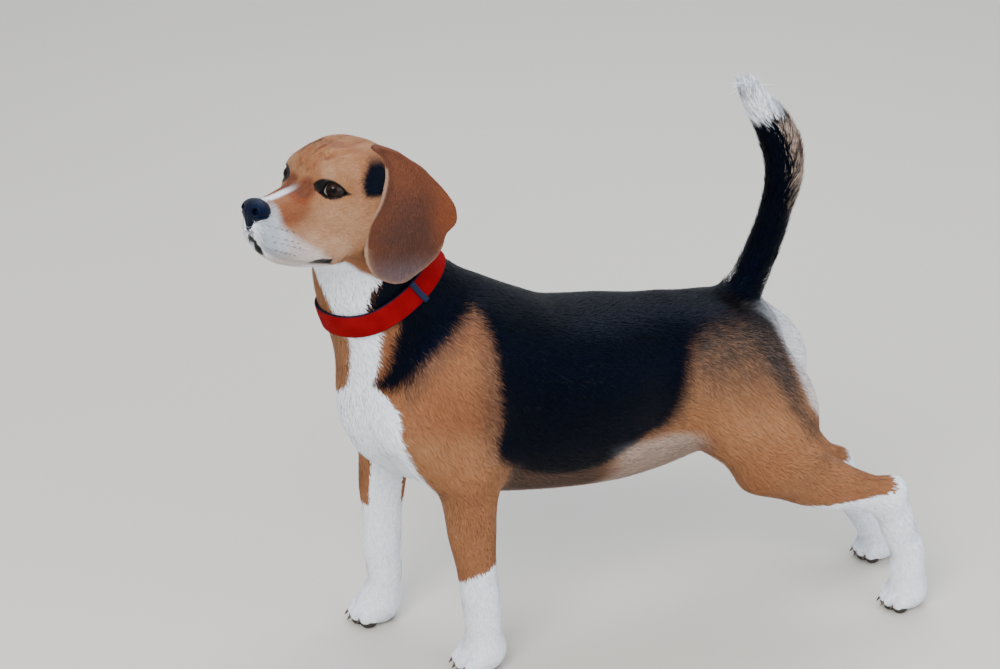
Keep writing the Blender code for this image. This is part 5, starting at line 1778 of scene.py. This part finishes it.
# ---------------------------------------------------------------- the other pieces
def make_eyes(kit):
    """The two eyeballs, behind the lids."""
    finish = eye_material(kit)
    for sign in SIDES:
        made = eyeball(sign, finish)
        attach(made, "root")
        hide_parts("eye_" + side(sign))


def make_nose(kit):
    """The nose leather, netted from its distance."""
    corners = from_head([(x, y, z) for x in (-0.076, -0.042) for y in (-0.019, 0.019) for z in (-0.044,
        0.0)])
    points, quads = net(nose_leather, corners.min(0), corners.max(0), 0.75 * MM)
    points, quads = largest(points, quads)
    made = new_piece("nose_leather", settle(points, quads, nose_leather), quads, nose_material(kit))
    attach(made, "root")
    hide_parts("nose")


def make_whiskers(kit):
    """Whiskers of the muzzle, laid back, and a few over each eye."""
    rng = np.random.default_rng(kit.seed + 1)
    roots, ways, lengths = [], [], []
    for sign in SIDES:
        place = from_head(whisker_roots() * (1, sign, 1))
        way = np.array([0.75, sign * 0.55, -0.3]) @ HEAD_AXES
        roots.append(on_skin(place, way / np.linalg.norm(way)))
        ways.append(way + rng.normal(0, 0.16, place.shape))
        lengths.append(kit.whisker * rng.uniform(0.55, 1.1, len(place)))
        brow = from_head(np.array([(0.002, 0.02, 0.0185), (0.005, 0.023, 0.019), (0.0, 0.024, 0.0165)]) * (1,
            sign, 1))
        way = np.array([-0.35, sign * 0.45, 0.75]) @ HEAD_AXES
        roots.append(on_skin(brow, way / np.linalg.norm(way)))
        ways.append(way + rng.normal(0, 0.15, brow.shape))
        lengths.append(0.5 * kit.whisker * rng.uniform(0.7, 1.1, len(brow)))
    made = hairs("whiskers", np.vstack(roots), np.vstack(ways), np.concatenate(lengths), 0.16 * MM,
        (0.05, 0, -0.18), whisker_material())
    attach(made, "root")


def make_feet():
    """Claws at the toes, and the pads under them and under each paw's middle."""
    made = new_piece("claws", *joined([claw(tip, size) for tip, size in toes()]), claw_material())
    outward(made)
    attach(made, "root")
    pads = []
    for tip, size in toes():
        pads.append(cushion(tip + (0.003, 0, -0.0035), np.array([0.0085, 0.0058, 0.0062]) * size))
    for legs, size in ((FORE, FORE_PAW), (HIND, HIND_PAW)):
        for sign in SIDES:
            x, y, _ = legs[sign][-1]
            pads.append(cushion((x + 0.004, y, 0.0055), np.array([0.0125, 0.0145, 0.0062]) * size))
    made = outward(new_piece("paw_pads", *joined(pads), pad_material()))
    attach(made, "root")


STRAP_THICK = 0.0026
SLIDE_LEAN = -12.0      # radians a metre: the bar lies askew on the strap


def make_collar(kit):
    """The strap round the neck, its slide bar and its buckle."""
    half = kit.strap_width / 2
    band = Band(half + 0.004)
    strap = carried(band, "collar_webbing", np.linspace(-np.pi, np.pi, 360, endpoint=False),
        flat_section(half, -0.6 * MM, STRAP_THICK), webbing_material(kit), True)
    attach(strap, "root")
    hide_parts("collar_strap")
    plastic = plastic_material(kit)
    for name, node, turn, wide, proud, stand, lean in (("slide_bar", "collar_slide", SLIDE_TURN, 5.2, 0.0022,
            0.0016, SLIDE_LEAN), ("side_buckle", "collar_buckle", BUCKLE_TURN, 38, 0.005, 0.003, 0.0)):
        turns = np.radians(np.linspace(turn - wide / 2, turn + wide / 2, 24))
        rises, lifts = flat_section(half + stand, STRAP_THICK - 1.0 * MM, STRAP_THICK + proud)
        ends = 1 - 0.35 * np.abs(np.linspace(-1, 1, 24)) ** 8
        made = carried(band, name, turns, (rises, STRAP_THICK - 1.0 * MM + (lifts - STRAP_THICK + 1.0 * MM)
            * ends[:, None]), plastic, False, lean)
        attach(made, "root")
        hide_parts(node)


# ---------------------------------------------------------------- stage
LENS = 99.0
CAMERA_PLACE, CAMERA_AIM = np.array((-0.7265, -2.2512, 1.415)), np.array((-0.081, 0.0, 0.323))
LIGHT_AIM = (0, 0, 0.28)
LIGHTS = [      # name, place, size, share of the key light's power, colour
    ("key", (-1.6, -2.0, 2.6), 1.6, 1.0, "#FDFAF6"),
    ("fill", (1.9, -2.2, 1.2), 2.2, 0.4, "#F3F6FB"),
    ("top", (0.5, 0.9, 2.6), 1.8, 0.5, "#E8F0FF"),
]


def make_stage(kit):
    """A square floor at z = 0, pale surroundings, three soft lights and the camera."""
    u, v = np.meshgrid((-0.5, 0.5), (-0.5, 0.5), indexing="ij")
    points = np.stack([u, v, 0 * u], -1).reshape(-1, 3) * kit.floor_size - SHIFT
    floor = new_piece("floor", points, grid_faces(2, 2), floor_material())
    world = bpy.data.worlds.new("studio")
    world.use_nodes = True
    world.node_tree.nodes["Background"].inputs["Color"].default_value = (*linear("#DDE3EA"), 1)
    world.node_tree.nodes["Background"].inputs["Strength"].default_value = kit.world_light
    bpy.context.scene.world = world
    for name, place, size, share, colour in LIGHTS:
        light = bpy.data.lights.new(name, "AREA")
        light.size, light.energy, light.color = size, share * kit.key_light, linear(colour)
        lamp = bpy.data.objects.new(name, light)
        bpy.context.scene.collection.objects.link(lamp)
        aim(lamp, place, LIGHT_AIM)
    camera = bpy.data.cameras.new("camera")
    camera.lens, camera.sensor_width, camera.clip_end = LENS, 36.0, 100.0
    eye = bpy.data.objects.new("camera", camera)
    bpy.context.scene.collection.objects.link(eye)
    aim(eye, CAMERA_PLACE + SHIFT, CAMERA_AIM + SHIFT)
    bpy.context.scene.camera = eye


def aim(thing, place, at):
    """Puts a light or camera at a place, looking at a point, level."""
    thing.location = place
    thing.rotation_euler = (Vector(at) - Vector(place)).to_track_quat("-Z", "Y").to_euler()


# ---------------------------------------------------------------- settings, operators and panel
def colour_setting(name, text, description):
    """A colour property whose default is an sRGB hex value."""
    return bpy.props.FloatVectorProperty(name=name, description=description, subtype="COLOR", size=3, min=0,
        max=1, default=linear(text))


class BeagleCoatSettings(bpy.types.PropertyGroup):
    """Colours and tufts of the skin and coat."""
    tan: colour_setting("Tan", "#976947", "Tan hair of the head, shoulders and legs")
    rust: colour_setting("Rust", "#7B4126", "Deeper red-brown tan of the shanks and behind the nose")
    cream: colour_setting("Cream", "#B7977D", "Pale hair of the cheeks, buttocks and belly")
    white: colour_setting("White", "#F2F7FF", "White hair")
    # painted shade: this blue-grey stands in for the muzzle's white where it lies in shade
    grey: colour_setting("Grey", "#7D8896", "Grey shade at the sides of the muzzle")
    black: colour_setting("Black", "#080B12", "Black hair of the saddle")
    brown: colour_setting("Brown", "#413733", "Dark brown of the grizzled hair")
    ear: colour_setting("Ear", "#663925", "Hair of the ears")
    ear_dark: colour_setting("Ear middle", "#4C2F27", "Darker middle and front of the ears")
    ear_edge: colour_setting("Ear edge", "#9B7B67", "Pale line of hair on the ears' edge")
    bare: colour_setting("Bare skin", "#0C0A09", "Bare skin of the lips and lids")
    tuft_width: bpy.props.FloatProperty(name="Tuft width", description="Width of a tuft of body hair",
        subtype="DISTANCE", default=0.78 * MM, min=0.3 * MM, max=4 * MM)
    spacing: bpy.props.FloatProperty(name="Spacing", description="Distance between tufts against the usual",
        default=1.0, min=0.5, max=4, subtype="FACTOR")
    seed: bpy.props.IntProperty(name="Seed", description="Which chance arrangement of the tufts", default=4,
        min=0)


class BeagleDetailSettings(bpy.types.PropertyGroup):
    """Eyes, nose, whiskers and collar."""
    eye: colour_setting("Iris", "#24120C", "Iris of the eyes")
    nose: colour_setting("Nose", "#080B12", "Leather of the nose")
    webbing: colour_setting("Webbing", "#86070F", "Webbing of the collar")
    plastic: colour_setting("Plastic", "#0E1A38", "Slide bar and buckle")
    strap_width: bpy.props.FloatProperty(name="Strap width", description="Width of the collar's webbing",
        subtype="DISTANCE", default=24 * MM, min=10 * MM, max=40 * MM)
    whisker: bpy.props.FloatProperty(name="Whiskers", description="Length of the long whiskers",
        subtype="DISTANCE", default=18 * MM, min=5 * MM, max=80 * MM)
    seed: bpy.props.IntProperty(name="Seed", description="Which chance arrangement of the whiskers",
        default=9, min=0)


class BeagleStageSettings(bpy.types.PropertyGroup):
    """Floor and lights."""
    floor_size: bpy.props.FloatProperty(name="Floor", description="Side of the studio floor",
        subtype="DISTANCE", default=14.0, min=2.0)
    key_light: bpy.props.FloatProperty(name="Key light", description="Power of the key light",
        subtype="POWER", default=118.0)
    world_light: bpy.props.FloatProperty(name="Surrounding light",
        description="Strength of the pale surroundings", default=1.12)


class BEAGLE_OT_skin(bpy.types.Operator):
    """Makes the skin over the body, ears and lids"""
    bl_idname = "beagle.skin"
    bl_label = "Skin"

    def execute(self, context):
        make_skin(context.scene.beagle_coat)
        return {"FINISHED"}


class BEAGLE_OT_coat(bpy.types.Operator):
    """Covers the skin with short tufts of hair"""
    bl_idname = "beagle.coat"
    bl_label = "Coat"

    def execute(self, context):
        make_coat(context.scene.beagle_coat)
        return {"FINISHED"}


class BEAGLE_OT_eyes(bpy.types.Operator):
    """Makes the two eyeballs"""
    bl_idname = "beagle.eyes"
    bl_label = "Eyes"

    def execute(self, context):
        make_eyes(context.scene.beagle_detail)
        return {"FINISHED"}


class BEAGLE_OT_nose(bpy.types.Operator):
    """Makes the nose leather with its nostrils"""
    bl_idname = "beagle.nose"
    bl_label = "Nose"

    def execute(self, context):
        make_nose(context.scene.beagle_detail)
        return {"FINISHED"}


class BEAGLE_OT_whiskers(bpy.types.Operator):
    """Makes the whiskers of the muzzle and brows"""
    bl_idname = "beagle.whiskers"
    bl_label = "Whiskers"

    def execute(self, context):
        make_whiskers(context.scene.beagle_detail)
        return {"FINISHED"}


class BEAGLE_OT_feet(bpy.types.Operator):
    """Makes the claws and the pads of the paws"""
    bl_idname = "beagle.feet"
    bl_label = "Claws and pads"

    def execute(self, context):
        make_feet()
        return {"FINISHED"}


class BEAGLE_OT_collar(bpy.types.Operator):
    """Makes the webbing collar with its slide bar and buckle"""
    bl_idname = "beagle.collar"
    bl_label = "Collar"

    def execute(self, context):
        make_collar(context.scene.beagle_detail)
        return {"FINISHED"}


class BEAGLE_OT_stage(bpy.types.Operator):
    """Makes the floor, the studio light and the camera"""
    bl_idname = "beagle.stage"
    bl_label = "Stage"

    def execute(self, context):
        make_stage(context.scene.beagle_stage)
        return {"FINISHED"}


class BEAGLE_PT_panel(bpy.types.Panel):
    """Lists the settings and the pieces"""
    bl_idname = "BEAGLE_PT_panel"
    bl_label = "Beagle"
    bl_space_type = "VIEW_3D"
    bl_region_type = "UI"
    bl_category = "Beagle"

    def draw(self, context):
        for name in GROUPS:
            box = self.layout.box()
            group = getattr(context.scene, name)
            for key in type(group).__annotations__:
                box.prop(group, key)
        for operator in OPERATORS:
            self.layout.operator(operator.bl_idname)


GROUPS = {"beagle_coat": BeagleCoatSettings, "beagle_detail": BeagleDetailSettings,
    "beagle_stage": BeagleStageSettings}
OPERATORS = (BEAGLE_OT_skin, BEAGLE_OT_coat, BEAGLE_OT_eyes, BEAGLE_OT_nose, BEAGLE_OT_whiskers,
    BEAGLE_OT_feet, BEAGLE_OT_collar, BEAGLE_OT_stage)


def register():
    """Registers the classes and gives the scene its settings."""
    for made in (*GROUPS.values(), *OPERATORS, BEAGLE_PT_panel):
        bpy.utils.register_class(made)
    for name, group in GROUPS.items():
        setattr(bpy.types.Scene, name, bpy.props.PointerProperty(type=group))


def unregister():
    """Takes back what register did."""
    for name in GROUPS:
        delattr(bpy.types.Scene, name)
    for made in (BEAGLE_PT_panel, *OPERATORS[::-1], *list(GROUPS.values())[::-1]):
        bpy.utils.unregister_class(made)


def main():
    """Makes every piece in order."""
    register()
    for operator in OPERATORS:
        group, name = operator.bl_idname.split(".")
        if getattr(getattr(bpy.ops, group), name)() != {"FINISHED"}:
            raise RuntimeError(operator.bl_label + " was not made")


if __name__ == "__main__":
    main()
